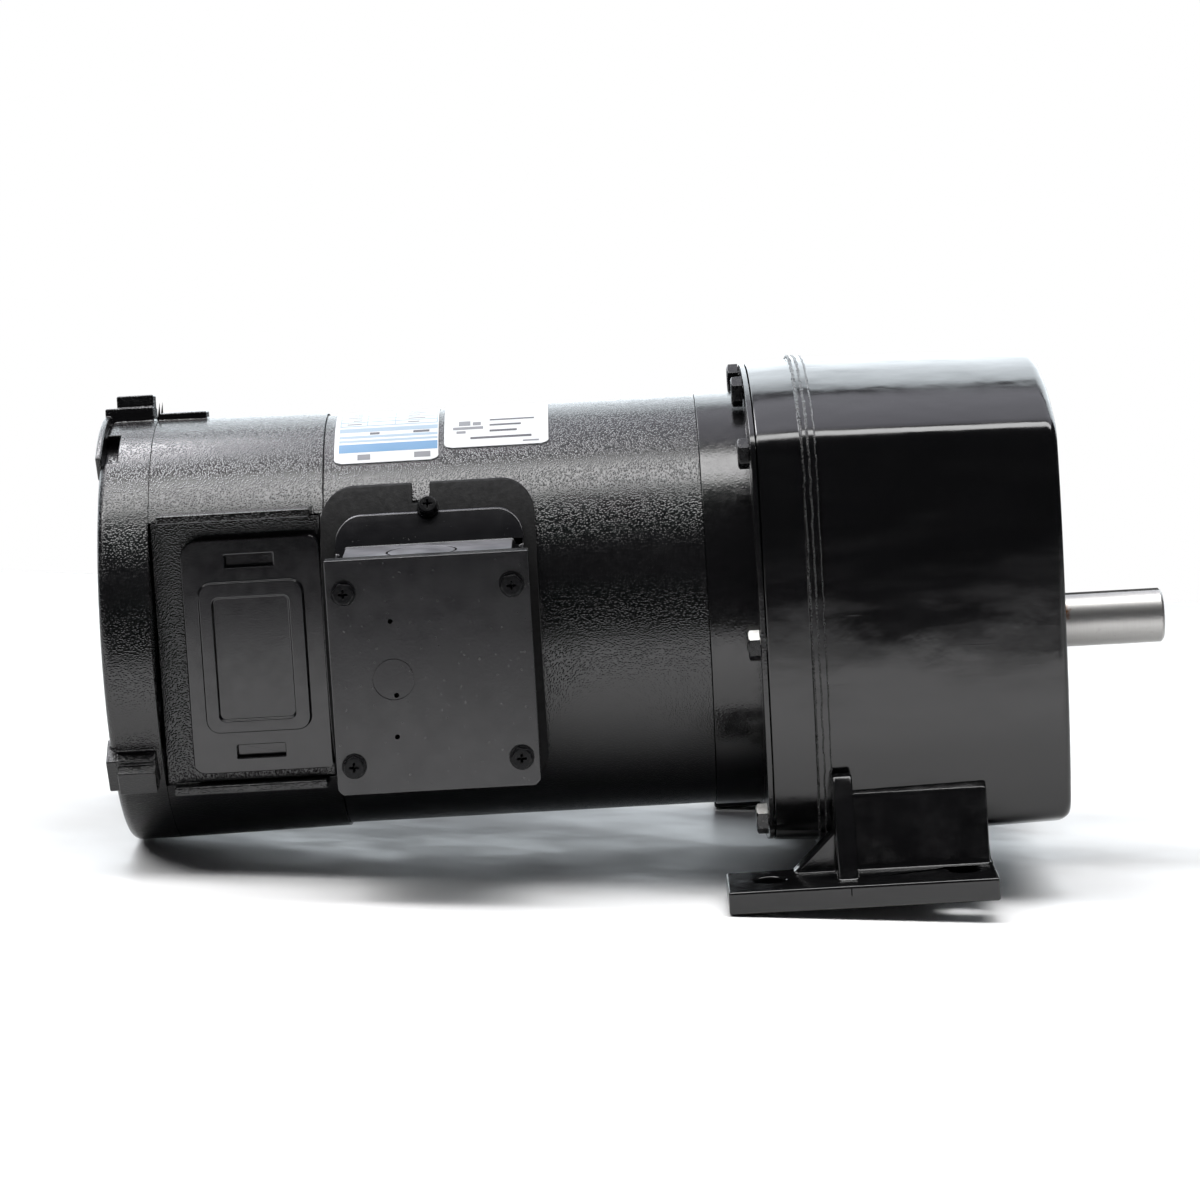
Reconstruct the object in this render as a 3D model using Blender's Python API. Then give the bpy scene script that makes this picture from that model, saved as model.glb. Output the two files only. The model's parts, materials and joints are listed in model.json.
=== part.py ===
"""A foot-mounted parallel-shaft gearmotor: a permanent-magnet DC motor, with a conduit box on its side,
bolted to a three-stage spur gearbox.

Frame: metres, +Z up. The origin is the centre of the foot's four-hole pattern, on the foot's underside.
+X runs along the motor towards the output shaft's end, and -Y is the side that carries the conduit box.
Lengths below are written in millimetres and multiplied by MM.
"""

import math

import bmesh
import bpy
from mathutils import Matrix, Vector

MM = 0.001
GAP = 0.3  # between pieces that touch

# Heights of the two shaft lines above the foot's underside
MOTOR_Z = 90.5
OUTPUT_Z = 75.8

# Flat sides that stand for a full circle
HOUSING_SIDES = 48
ROUND_SIDES = 24

# Stations along the motor axis
REAR_X = -252.7
REAR_SEAM_X = -235.2
MID_SEAM_X = -176.0
FRONT_SEAM_X = -47.8
SHIELD_FLANGE_X = -31.2
CASE_REAR_X = -29.2
PARTING_X = -12.1
CASE_FRONT_X = 71.3
NOSE_X = 75.8
KEYWAY_X = 76.5
SHAFT_END_X = 112.7

# Motor housing radii
FRAME_R = 71.6
FRAME_BORE_R = 65.6
SHIELD_R = 72.2
BRUSH_END_R = 73.4
BRUSH_END_FRONT_R = 72.5
SPIGOT_R = FRAME_BORE_R - GAP

# Rotor
MAGNET_BORE_R = 55.0
CORE_R = 54.0
CORE_X = (-148.0, -76.0)
CORE_SLOTS = 12
ROTOR_SHAFT_R = 9.0
JOURNAL_R = 7.5
COMMUTATOR_R = 22.0
COMMUTATOR_X = (-205.0, -179.0)

# Brushes, one on each side of the commutator along Y
BRUSH_X = -192.0
BRUSH_SIZE = (12.0, 15.0, 16.0)  # along the shaft, radial, and around the commutator
POCKET_Y = 56.5
POCKET_HALF_HEIGHT = 45.0
COVER_PLATE_Z = -1.2

# Gear case: a square with bulging sides
CASE_HALF_WIDTH = 82.6
CASE_TOP = 82.1
CASE_BOTTOM = -83.4
CASE_SIDE_R = 250.0
CASE_TOP_R = 170.0
CASE_BOTTOM_R = 237.0
CASE_WALL = 5.5
BAND_HALF = 2.5
BAND_PROUD = 0.8
SEALANT_PROUD = 1.1

# Foot
FOOT_X = (-46.9, 43.2)
FOOT_OUTER_Y = 105.3
FOOT_THICK = 7.9
FOOT_HOLE = (32.75, 88.8)
FOOT_HOLE_R = 5.4
WEB_Y = 82.0
WEB_TOP_Z = 33.0
RIB_X = (-9.8, -3.2)

# Gear train: stage (module, pinion teeth, gear teeth)
STAGES = ((1.5, 12, 36), (1.75, 12, 36), (2.0, 12, 42))
PRESSURE_ANGLE = math.radians(25.0)
ADDENDUM = 0.8
DEDENDUM = 1.05
BACKLASH = 0.3
GEAR_1_X = (-12.0, -1.0)
GEAR_2_X = (5.0, 17.0)
GEAR_3_X = (24.0, 42.0)
SHAFT_R = 5.0
OUTPUT_R = 9.525

# Conduit box
BOX_X = -140.3
COVER_HALF_WIDTH = 33.6
COVER_Z = (47.3, 125.8)
COVER_Y = -103.0
SHEET = 1.4
SCREW_DX = 27.7
KNOCKOUT = (BOX_X - 12.8, 85.5)
KNOCKOUT_R = 6.8
COVER_SCREW_Z = (57.0, 114.8)
SADDLE_R = 74.8
GASKET_HALF_WIDTH = 36.0

# Labels on the frame: (name, X range, angles from -Y towards +Z)
LABELS = (
    ("rating_label", (-172.3, -136.6), (56.2, 98.0)),
    ("caution_label", (-134.6, -98.8), (60.4, 98.0)),
)
LABEL_R = FRAME_R + GAP

# Bolts that join the motor shield to the gear case: (Y, height above the motor axis)
CASE_BOLTS = ((21.9, 74.7), (66.0, 58.5), (77.8, -4.8), (67.5, -66.0))
BOLT_HEAD_AF = 9.1
BOLT_HEAD_TALL = 4.3
BOLT_R = 2.6

# Castings on which the exact solver leaves open edges
MANIFOLD_NODES = ("front_end_shield", "gear_case_rear", "gear_case_front")

COLOURS = {
    "black_paint": ((0.018, 0.018, 0.020), 0.32, 0.0),
    "textured_black": ((0.022, 0.022, 0.024), 0.42, 0.0),
    "dark_plastic": ((0.030, 0.030, 0.033), 0.55, 0.0),
    "gasket_rubber": ((0.045, 0.045, 0.045), 0.85, 0.0),
    "ground_steel": ((0.55, 0.54, 0.52), 0.30, 1.0),
    "gear_steel": ((0.42, 0.41, 0.40), 0.35, 1.0),
    "black_screw": ((0.030, 0.030, 0.032), 0.35, 0.6),
    "plated_bolt": ((0.60, 0.60, 0.58), 0.28, 1.0),
    "copper": ((0.72, 0.36, 0.20), 0.35, 1.0),
    "ferrite": ((0.06, 0.06, 0.07), 0.60, 0.0),
    "carbon": ((0.035, 0.035, 0.037), 0.70, 0.0),
    "bronze": ((0.55, 0.40, 0.20), 0.40, 1.0),
    "laminations": ((0.30, 0.30, 0.31), 0.45, 1.0),
    "label_film": ((0.80, 0.82, 0.84), 0.35, 0.0),
}


def clear_scene():
    for obj in list(bpy.data.objects):
        bpy.data.objects.remove(obj, do_unlink=True)


def material(name):
    found = bpy.data.materials.get(name)
    if found:
        return found
    made = bpy.data.materials.new(name)
    made.use_nodes = True
    shader = made.node_tree.nodes["Principled BSDF"]
    colour, roughness, metallic = COLOURS[name]
    shader.inputs["Base Color"].default_value = (*colour, 1.0)
    shader.inputs["Roughness"].default_value = roughness
    shader.inputs["Metallic"].default_value = metallic
    return made


def object_from(name, bm, look, origin=(0.0, 0.0, 0.0)):
    """A scene object from a bmesh in millimetres, with its origin at a point given in millimetres."""
    bmesh.ops.remove_doubles(bm, verts=bm.verts, dist=1e-4)
    bmesh.ops.recalc_face_normals(bm, faces=bm.faces)
    bmesh.ops.transform(bm, matrix=Matrix.Scale(MM, 4) @ Matrix.Translation(-Vector(origin)), verts=bm.verts)
    mesh = bpy.data.meshes.new(name)
    bm.to_mesh(mesh)
    bm.free()
    mesh.shade_smooth()
    mesh.set_sharp_from_angle(angle=math.radians(30.0))
    obj = bpy.data.objects.new(name, mesh)
    obj.location = Vector(origin) * MM
    bpy.context.scene.collection.objects.link(obj)
    mesh.materials.append(material(look))
    return obj


def helper(obj):
    """Marks an object as a cutter or a lump to join, which is not a part itself."""
    obj.hide_render = True
    obj.display_type = "WIRE"
    return obj


def boolean(obj, other, operation):
    modifier = obj.modifiers.new(operation.lower(), "BOOLEAN")
    modifier.operation = operation
    modifier.object = helper(other)
    modifier.solver = "MANIFOLD" if obj.name in MANIFOLD_NODES else "EXACT"


def cut(obj, *others):
    for other in others:
        boolean(obj, other, "DIFFERENCE")


def join(obj, *others):
    for other in others:
        boolean(obj, other, "UNION")


def keep_inside(obj, other):
    boolean(obj, other, "INTERSECT")


def loft(name, rings, look="black_paint", origin=(0.0, 0.0, 0.0)):
    """A closed body through rings of points, each ring with the same number of points."""
    bm = bmesh.new()
    rows = [[bm.verts.new(point) for point in ring] for ring in rings]
    count = len(rows[0])
    for low, high in zip(rows, rows[1:]):
        for i in range(count):
            j = (i + 1) % count
            bm.faces.new((low[i], low[j], high[j], high[i]))
    bm.faces.new(rows[0][::-1])
    bm.faces.new(rows[-1])
    return object_from(name, bm, look, origin)


def prism_x(name, outline, x_range, look="black_paint", origin=(0.0, 0.0, 0.0)):
    """An outline of (y, z) points drawn out along X."""
    return loft(name, [[(x, y, z) for y, z in outline] for x in x_range], look, origin)


def prism_y(name, outline, y_range, look="black_paint"):
    """An outline of (x, z) points drawn out along Y."""
    return loft(name, [[(x, y, z) for x, z in outline] for y in y_range], look)


def prism_z(name, outline, z_range, look="black_paint"):
    """An outline of (x, y) points drawn out along Z."""
    return loft(name, [[(x, y, z) for x, y in outline] for z in z_range], look)


def block(name, x_range, y_range, z_range, look="black_paint"):
    y0, y1 = y_range
    z0, z1 = z_range
    return prism_x(name, ((y0, z0), (y1, z0), (y1, z1), (y0, z1)), x_range, look)


def turned(name, profile, look, centre=(0.0, MOTOR_Z), segments=ROUND_SIDES, origin=None):
    """A closed profile of (x, radius) points turned about the line along X through centre = (y, z)."""
    bm = bmesh.new()
    rows = []
    for x, radius in profile:
        if radius < 1e-6:
            rows.append([bm.verts.new((x, centre[0], centre[1]))])
            continue
        angles = [math.tau * i / segments for i in range(segments)]
        ring = [(x, centre[0] + radius * math.cos(a), centre[1] + radius * math.sin(a)) for a in angles]
        rows.append([bm.verts.new(point) for point in ring])
    for low, high in zip(rows, rows[1:] + rows[:1]):
        if len(low) == 1 and len(high) == 1:
            continue
        for i in range(segments):
            j = (i + 1) % segments
            corners = [low[i % len(low)], low[j % len(low)], high[j % len(high)], high[i % len(high)]]
            bm.faces.new(list(dict.fromkeys(corners)))
    return object_from(name, bm, look, origin or (0.0, centre[0], centre[1]))


def rod(name, x_range, radius, look="black_paint", centre=(0.0, MOTOR_Z), segments=ROUND_SIDES):
    x0, x1 = x_range
    return turned(name, ((x0, 0.0), (x0, radius), (x1, radius), (x1, 0.0)), look, centre, segments)


def tube(name, x_range, outer, inner, look="black_paint", centre=(0.0, MOTOR_Z), segments=ROUND_SIDES):
    x0, x1 = x_range
    return turned(name, ((x0, inner), (x0, outer), (x1, outer), (x1, inner)), look, centre, segments)


def peg(name, centre, axis, length, radius, sides=16, look="black_paint", turn=0.0):
    """A round or many-sided peg that starts at a point and runs along a direction."""
    bm = bmesh.new()
    bmesh.ops.create_cone(
        bm, cap_ends=True, segments=sides, radius1=radius, radius2=radius, depth=length
    )
    spin = Vector(axis).to_track_quat("Z", "Y").to_matrix().to_4x4()
    place = Matrix.Translation(Vector(centre) + Vector(axis).normalized() * length / 2) @ spin
    bmesh.ops.transform(bm, matrix=place @ Matrix.Rotation(turn, 4, "Z"), verts=bm.verts)
    return object_from(name, bm, look, centre)


def rounded_rectangle(u_range, v_range, radii, steps=4):
    """Outline of a rectangle; radii are for its corners from low-low round through high-low."""
    u0, u1 = u_range
    v0, v1 = v_range
    corners = ((u0, v0, 1, 1), (u1, v0, -1, 1), (u1, v1, -1, -1), (u0, v1, 1, -1))
    outline = []
    for quarter, ((u, v, su, sv), r) in enumerate(zip(corners, radii)):
        if r <= 0:
            outline.append((u, v))
            continue
        start = math.pi + quarter * math.pi / 2
        for i in range(steps + 1):
            a = start + i * math.pi / 2 / steps
            outline.append((u + su * r + r * math.cos(a), v + sv * r + r * math.sin(a)))
    return outline


def case_outline(inset):
    """The gear case's section, moved inwards by inset: bulging sides, an arched top and bottom."""
    half = CASE_HALF_WIDTH - inset
    top = CASE_TOP - inset
    bottom = CASE_BOTTOM + inset

    def side_y(z):
        return half - CASE_SIDE_R + math.sqrt(CASE_SIDE_R**2 - z * z)

    def top_z(y):
        return top - CASE_TOP_R + math.sqrt(CASE_TOP_R**2 - y * y)

    def bottom_z(y):
        return bottom + CASE_BOTTOM_R - math.sqrt(CASE_BOTTOM_R**2 - y * y)

    top_corner = (half, 0.0)
    bottom_corner = (half, 0.0)
    for _ in range(30):
        top_corner = (side_y(top_corner[1]), top_z(top_corner[0]))
        bottom_corner = (side_y(bottom_corner[1]), bottom_z(bottom_corner[0]))

    def between(low, high, count):
        return [low + (high - low) * i / count for i in range(1, count)]

    soft = 3.0  # how far each rounded corner reaches along its two edges
    right = [(side_y(z), z) for z in between(bottom_corner[1] + soft, top_corner[1] - soft, 6)]
    upper = [(y, top_z(y)) for y in between(top_corner[0] - soft, -top_corner[0] + soft, 8)]
    lower = [(y, bottom_z(y)) for y in between(-bottom_corner[0] + soft, bottom_corner[0] - soft, 6)]

    def rounded(corner, before, after):
        start, end, tip = Vector(before), Vector(after), Vector(corner)
        points = []
        for t in (0.0, 0.33, 0.67, 1.0):
            points.append(tuple(start.lerp(tip, t).lerp(tip.lerp(end, t), t)))
        return points

    def corner_points(corner, z_edge, y_edge, edge):
        return rounded(corner, (side_y(z_edge), z_edge), (y_edge, edge(y_edge)))

    top_right = corner_points(top_corner, top_corner[1] - soft, top_corner[0] - soft, top_z)
    low_right = corner_points(bottom_corner, bottom_corner[1] + soft, bottom_corner[0] - soft, bottom_z)[::-1]
    top_left = [(-y, z) for y, z in top_right[::-1]]
    low_left = [(-y, z) for y, z in low_right[::-1]]
    left = [(-y, z) for y, z in right[::-1]]
    points = low_right + right + top_right + upper + top_left + left + low_left + lower
    return [(y, z + MOTOR_Z) for y, z in points]


def case_loft(name, stations, look="black_paint"):
    """The case's section lofted through (x, inset) stations."""
    return loft(name, [[(x, y, z) for y, z in case_outline(inset)] for x, inset in stations], look)


def gear_outline(teeth, module, angle):
    """Involute teeth about the origin, with the middle of one tooth at the given angle."""
    pitch_r = teeth * module / 2
    base_r = pitch_r * math.cos(PRESSURE_ANGLE)
    tip_r = pitch_r + ADDENDUM * module
    root_r = pitch_r - DEDENDUM * module
    start_r = max(base_r, root_r)

    def involute(a):
        return math.tan(a) - a

    half_pitch = math.pi / teeth / 2 - BACKLASH / 4 / pitch_r

    def half_width(r):
        roll = math.acos(min(1.0, base_r / r))
        return half_pitch + involute(PRESSURE_ANGLE) - involute(roll)

    flank = [start_r + (tip_r - start_r) * t for t in (0.0, 0.45, 1.0)]
    side = [(r, half_width(r)) for r in flank]
    if root_r < start_r - 0.05:
        side.insert(0, (root_r, half_width(start_r)))
    outline = []
    for tooth in range(teeth):
        middle = angle + math.tau * tooth / teeth
        outline += [(r, middle - w) for r, w in side]
        outline += [(r, middle + w) for r, w in side[::-1]]
    return [(r * math.cos(a), r * math.sin(a)) for r, a in outline]


def gear(name, teeth, module, angle, x_range, centre, look="gear_steel"):
    outline = [(y + centre[0], z + centre[1]) for y, z in gear_outline(teeth, module, angle)]
    return prism_x(name, outline, x_range, look, (0.0, centre[0], centre[1]))


def bearing(name, x_range, outer, inner, centre=(0.0, MOTOR_Z), segments=ROUND_SIDES):
    """A shielded ball bearing: its inner race stands proud, and its shields slope out to the outer race."""
    x0, x1 = x_range
    low = inner + (outer - inner) * 0.28
    step = 0.8
    rear_half = ((x0, inner), (x0, low), (x0 + step, low), (x0, outer))
    front_half = ((x1, outer), (x1 - step, low), (x1, low), (x1, inner))
    profile = rear_half + front_half
    return turned(name, profile, "ground_steel", centre, segments)


def stage_centres():
    """Where each shaft line stands, as (y, z): motor, first and second intermediate, output."""
    spans = [module * (small + large) / 2 for module, small, large in STAGES]
    motor = Vector((0.0, MOTOR_Z))
    output = Vector((0.0, OUTPUT_Z))
    first = motor + Vector((0.0, spans[0]))
    # The second intermediate shaft stands where its distances to its two neighbours cross.
    apart = (output - first).length
    along = (spans[1] ** 2 - spans[2] ** 2 + apart**2) / (2 * apart)
    aside = math.sqrt(spans[1] ** 2 - along**2)
    second = first + Vector((-aside, -along))
    return [tuple(p) for p in (motor, first, second, output)]


def direction(start, end):
    return math.atan2(end[1] - start[1], end[0] - start[0])


def gap_towards(angle, teeth):
    """The tooth angle that leaves a gap, not a tooth, pointing along the given angle."""
    return angle + math.pi / teeth


CENTRES = stage_centres()
MOTOR_C, FIRST_C, SECOND_C, OUTPUT_C = CENTRES


# ---- Motor housing ------------------------------------------------------------------------------------


def motor_frame():
    frame = tube(
        "motor_frame",
        (MID_SEAM_X + GAP / 2, FRONT_SEAM_X - GAP / 2),
        FRAME_R,
        FRAME_BORE_R,
        "textured_black",
        segments=HOUSING_SIDES,
    )
    angle = math.radians(36.6)
    axis = (0.0, -math.cos(angle), math.sin(angle))
    start = (BOX_X, -60.0 * math.cos(angle), MOTOR_Z + 60.0 * math.sin(angle))
    cut(frame, peg("frame_screw_hole", start, axis, 20.0, 2.5, 12))


def labels():
    """Printed film labels, stuck over the top of the frame."""
    for name, x_range, angles in LABELS:
        label = tube(name, (-190.0, -80.0), LABEL_R + 0.25, LABEL_R, "label_film", segments=HOUSING_SIDES)
        y_range = [-LABEL_R * math.cos(math.radians(a)) for a in angles]
        outline = rounded_rectangle(x_range, y_range, (3.0,) * 4, 3)
        keep_inside(label, prism_z(f"{name}_outline", outline, (MOTOR_Z + 30.0, MOTOR_Z + 90.0)))


def magnets():
    for name, middle in (("magnet_upper", math.pi / 2), ("magnet_lower", -math.pi / 2)):
        outline = []
        steps = 14
        half = math.radians(64.0)
        for radius, turn in ((FRAME_BORE_R - 0.4, 1), (MAGNET_BORE_R, -1)):
            for i in range(steps + 1):
                a = middle + turn * half * (2 * i / steps - 1)
                outline.append((radius * math.cos(a), MOTOR_Z + radius * math.sin(a)))
        prism_x(name, outline, (-160.0, -62.0), "ferrite")


def brush_end_shield():
    front = MID_SEAM_X - GAP / 2
    profile = (
        (REAR_SEAM_X + GAP, 8.6),
        (REAR_SEAM_X + GAP, BRUSH_END_R),
        (front, BRUSH_END_FRONT_R),
        (front, SPIGOT_R),
        (front + 6.0, SPIGOT_R),
        (front + 6.0, 62.0),
        (-229.0, 66.5),
        (-229.0, 21.0),
        (-219.0, 21.0),
        (-219.0, 16.3),
        (-231.5, 16.3),
        (-231.5, 8.6),
    )
    shield = turned("brush_end_shield", profile, "textured_black", segments=HOUSING_SIDES)
    for side in (-1, 1):
        y_in, y_out = sorted((side * 50.5, side * 64.0))
        pad = block(f"brush_pad_{side}", (-232.0, -180.0), (y_in, y_out), (MOTOR_Z - 48.0, MOTOR_Z + 48.0))
        join(shield, pad)
    for side in (-1, 1):
        y_in, y_out = sorted((side * POCKET_Y, side * 80.0))
        z_range = (MOTOR_Z - POCKET_HALF_HEIGHT, MOTOR_Z + POCKET_HALF_HEIGHT)
        cut(shield, block(f"brush_pocket_{side}", (-240.0, -177.4), (y_in, y_out), z_range))
        y_in, y_out = sorted((side * 40.0, side * 80.0))
        window = (MOTOR_Z - 18.0, MOTOR_Z + 18.0)
        cut(shield, block(f"brush_window_{side}", (-210.0, -181.0), (y_in, y_out), window))
    low, high = BRUSH_END_R - 3.0, BRUSH_END_R + 2.2
    join(shield, radial_bar("shield_rib", (-234.7, -218.3), 98.0, low, high, 3.0))
    return shield


def radial_bar(name, x_range, degrees, low, high, half_width, centre=MOTOR_C, look="black_paint"):
    """A bar along X that stands off a shaft line at an angle from -Y towards +Z, square to the radius."""
    angle = math.radians(degrees)
    out = Vector((-math.cos(angle), math.sin(angle)))
    across = Vector((out.y, -out.x))
    middle = Vector(centre)
    corners = [
        middle + out * low - across * half_width,
        middle + out * low + across * half_width,
        middle + out * high + across * half_width,
        middle + out * high - across * half_width,
    ]
    return prism_x(name, [tuple(c) for c in corners], x_range, look)


def rear_end_cover():
    profile = (
        (REAR_X, 0.0),
        (REAR_X, BRUSH_END_R - 1.6),
        (REAR_X + 1.2, BRUSH_END_R - 0.3),
        (REAR_X + 3.0, BRUSH_END_R),
        (REAR_SEAM_X, BRUSH_END_R),
        (REAR_SEAM_X, BRUSH_END_R - 4.0),
        (REAR_X + 4.0, BRUSH_END_R - 5.0),
        (REAR_X + 4.0, 0.0),
    )
    cover = turned("rear_end_cover", profile, "textured_black", segments=HOUSING_SIDES)
    for i, (degrees, half_width) in enumerate(((98.0, 7.5), (-30.2, 6.6), (218.0, 6.6))):
        slab_x = (REAR_X - 1.2, REAR_SEAM_X - 1.9)
        slab = radial_bar(f"lug_slab_{i}", slab_x, degrees, 66.0, 78.1, half_width)
        key = radial_bar(f"lug_key_{i}", (-249.6, REAR_SEAM_X - 1.9), degrees, 66.0, 82.4, 4.8)
        join(cover, slab, key)
    cut(cover, radial_bar("rim_notch", (REAR_X - 2.0, REAR_X + 5.3), 73.0, 68.0, 80.0, 10.0))


def front_end_shield():
    rear = FRONT_SEAM_X + GAP / 2
    profile = (
        (rear, SPIGOT_R),
        (rear, SHIELD_R),
        (SHIELD_FLANGE_X + 0.6, SHIELD_R),
        (SHIELD_FLANGE_X + 0.6, 12.0),
        (-35.0, 12.0),
        (-35.0, 17.8),
        (-48.0, 17.8),
        (-48.0, 23.0),
        (-41.0, 23.0),
        (-41.0, 60.0),
        (rear - 5.0, 62.0),
        (rear - 5.0, SPIGOT_R),
    )
    shield = turned("front_end_shield", profile, "textured_black", segments=HOUSING_SIDES)
    join(shield, case_loft("shield_flange", ((SHIELD_FLANGE_X, 1.2), (CASE_REAR_X - GAP, 1.2))))
    cut(shield, rod("flange_bore", (-34.0, -27.0), 11.5))
    for side in (-1, 1):
        for i, (y, z) in enumerate(CASE_BOLTS):
            start = (SHIELD_FLANGE_X - 1.0, side * y, MOTOR_Z + z)
            cut(shield, peg(f"flange_hole_{side}_{i}", start, (1, 0, 0), 6.0, BOLT_R + GAP, 12))


# ---- Rotor --------------------------------------------------------------------------------------------


def slotted_core():
    outline = []
    for slot in range(CORE_SLOTS):
        middle = math.tau * slot / CORE_SLOTS
        tooth = ((CORE_R, -0.225), (CORE_R, -0.045))
        gap = ((46.0, -0.045), (46.0, 0.045), (CORE_R, 0.045))
        for radius, offset in tooth + gap:
            y, z = radius * math.cos(middle + offset), radius * math.sin(middle + offset)
            outline.append((y, MOTOR_Z + z))
    core = prism_x("armature_core", outline, CORE_X, "laminations", (0.0, *MOTOR_C))
    cut(core, rod("core_bore", (CORE_X[0] - 1, CORE_X[1] + 1), ROTOR_SHAFT_R + GAP))


def windings():
    inner, outer = ROTOR_SHAFT_R + 6.0, 48.0
    for name, start, sign in (
        ("armature_winding_front", CORE_X[1] + GAP, 1),
        ("armature_winding_rear", CORE_X[0] - GAP, -1),
    ):
        profile = (
            (start, inner),
            (start, outer),
            (start + sign * 9.0, outer),
            (start + sign * 13.0, outer - 5.0),
            (start + sign * 14.0, inner + 8.0),
            (start + sign * 12.0, inner),
        )
        turned(name, profile, "copper", segments=ROUND_SIDES)


def motor_shaft():
    profile = (
        (-232.8, 0.0),
        (-232.8, JOURNAL_R - 0.8),
        (-232.0, JOURNAL_R),
        (-219.0, JOURNAL_R),
        (-219.0, ROTOR_SHAFT_R),
        (-47.3, ROTOR_SHAFT_R),
        (-47.3, JOURNAL_R),
        (-26.0, JOURNAL_R),
        (-26.0, 4.7),
        (GEAR_1_X[1] + 1.0, 4.7),
        (GEAR_1_X[1] + 1.0, 0.0),
    )
    turned("motor_shaft", profile, "ground_steel")
    module, small, large = STAGES[0]
    angle = direction(MOTOR_C, FIRST_C)
    pinion = gear("motor_pinion", small, module, angle, GEAR_1_X, MOTOR_C)
    cut(pinion, rod("pinion_bore", (GEAR_1_X[0] - 1, GEAR_1_X[1] + 1), 4.7 + GAP, segments=20))


def commutator():
    tube("commutator", COMMUTATOR_X, COMMUTATOR_R, ROTOR_SHAFT_R + GAP, "copper", segments=24)


def motor_bearings():
    bearing("rear_motor_bearing", (-231.2, -220.0), 16.0, JOURNAL_R + GAP)
    bearing("front_motor_bearing", (-46.7, -35.6), 17.5, JOURNAL_R + GAP)


# ---- Brush gear ---------------------------------------------------------------------------------------


def brush_gear(side, tag):
    """Everything that serves one brush. Radial sizes are measured out from the motor axis along Y."""
    long, radial, around = BRUSH_SIZE
    face = COMMUTATOR_R + GAP
    wall = 1.8

    def out(low, high):
        return tuple(sorted((side * low, side * high)))

    def span(half):
        return (MOTOR_Z - half, MOTOR_Z + half)

    def along(half):
        return (BRUSH_X - half, BRUSH_X + half)

    block(f"brush_{tag}", along(long / 2), out(face, face + radial), span(around / 2), "carbon")

    low, high = face + 3.0, 55.8
    outer_x, outer_z = along(long / 2 + GAP + wall), span(around / 2 + GAP + wall)
    holder = block(f"brush_holder_{tag}", outer_x, out(low, high), outer_z, "bronze")
    cut(
        holder,
        block(
            f"holder_bore_{tag}", along(long / 2 + GAP), out(low - 1.0, high - wall), span(around / 2 + GAP)
        ),
    )

    spring(side, tag, face + radial + GAP, high - wall - GAP)

    z_range = (MOTOR_Z + COVER_PLATE_Z - 40.0, MOTOR_Z + COVER_PLATE_Z + 40.0)
    outline = rounded_rectangle((-225.0, -177.7), z_range, (4.0, 1.5, 4.0, 6.0))
    y_in, y_out = out(POCKET_Y + GAP, POCKET_Y + 5.2)
    plate = prism_y(f"brush_cover_{tag}", outline, (y_in, y_out), "dark_plastic")
    middle = (z_range[0] + z_range[1]) / 2
    for dz in (32.4, -32.8):
        slot_z = middle + dz
        name = f"cover_slot_{tag}_{dz}"
        depth = out(POCKET_Y + 2.5, POCKET_Y + 8.0)
        cut(plate, block(name, (-210.0, -193.6), depth, (slot_z - 2.2, slot_z + 2.2)))
    raised = rounded_rectangle((-219.6, -184.2), (middle - 26.0, middle + 25.4), (5.0, 5.0, 5.0, 5.0))
    join(plate, prism_y(f"cover_frame_{tag}", raised, out(POCKET_Y + 3.0, POCKET_Y + 6.4)))
    panel = rounded_rectangle((-215.0, -189.2), (middle - 21.8, middle + 20.2), (2.5, 2.5, 2.5, 2.5))
    cut(plate, prism_y(f"cover_panel_{tag}", panel, out(POCKET_Y + 5.4, POCKET_Y + 9.0)))


def spring(side, tag, low, high):
    """A coil spring along Y: wire swept round a helix, between two radii from the motor axis."""
    wire, mean_r, turns, steps, sides = 0.6, 4.2, 4, 8, 4
    rings = []
    total = turns * steps
    run = high - low - 2 * wire
    for i in range(total + 1):
        a = math.tau * i / steps
        radial = low + wire + run * i / total
        outward = Vector((math.cos(a), 0.0, math.sin(a)))
        centre = Vector((BRUSH_X, side * radial, MOTOR_Z)) + outward * mean_r
        ring = []
        for k in range(sides):
            b = math.tau * k / sides
            ring.append(tuple(centre + outward * wire * math.cos(b) + Vector((0.0, wire * math.sin(b), 0.0))))
        rings.append(ring)
    loft(f"brush_spring_{tag}", rings, "ground_steel")


# ---- Conduit box --------------------------------------------------------------------------------------


def conduit_gasket():
    outer, inner = SADDLE_R - 0.5, SADDLE_R - 2.2
    ring = tube("conduit_gasket", (-190.0, -90.0), outer, inner, "gasket_rubber", segments=HOUSING_SIDES)
    half = GASKET_HALF_WIDTH
    z_range = (MOTOR_Z - 50.0, MOTOR_Z + 53.0)
    outline = rounded_rectangle((BOX_X - half, BOX_X + half), z_range, (10.0, 10.0, 11.0, 11.0), 5)
    keep_inside(ring, prism_y("gasket_outline", outline, (-100.0, -30.0)))
    notch_z = (MOTOR_Z + 38.0, MOTOR_Z + 70.0)
    notch = block("gasket_notch", (BOX_X - 2.8, BOX_X + 2.8), (-100.0, -30.0), notch_z)
    window_x, window_z = (BOX_X - 20.0, BOX_X + 20.0), (MOTOR_Z - 25.0, MOTOR_Z + 20.0)
    window = rounded_rectangle(window_x, window_z, (4.0,) * 4, 3)
    cut(ring, notch, prism_y("gasket_window", window, (-100.0, -30.0)))


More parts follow.
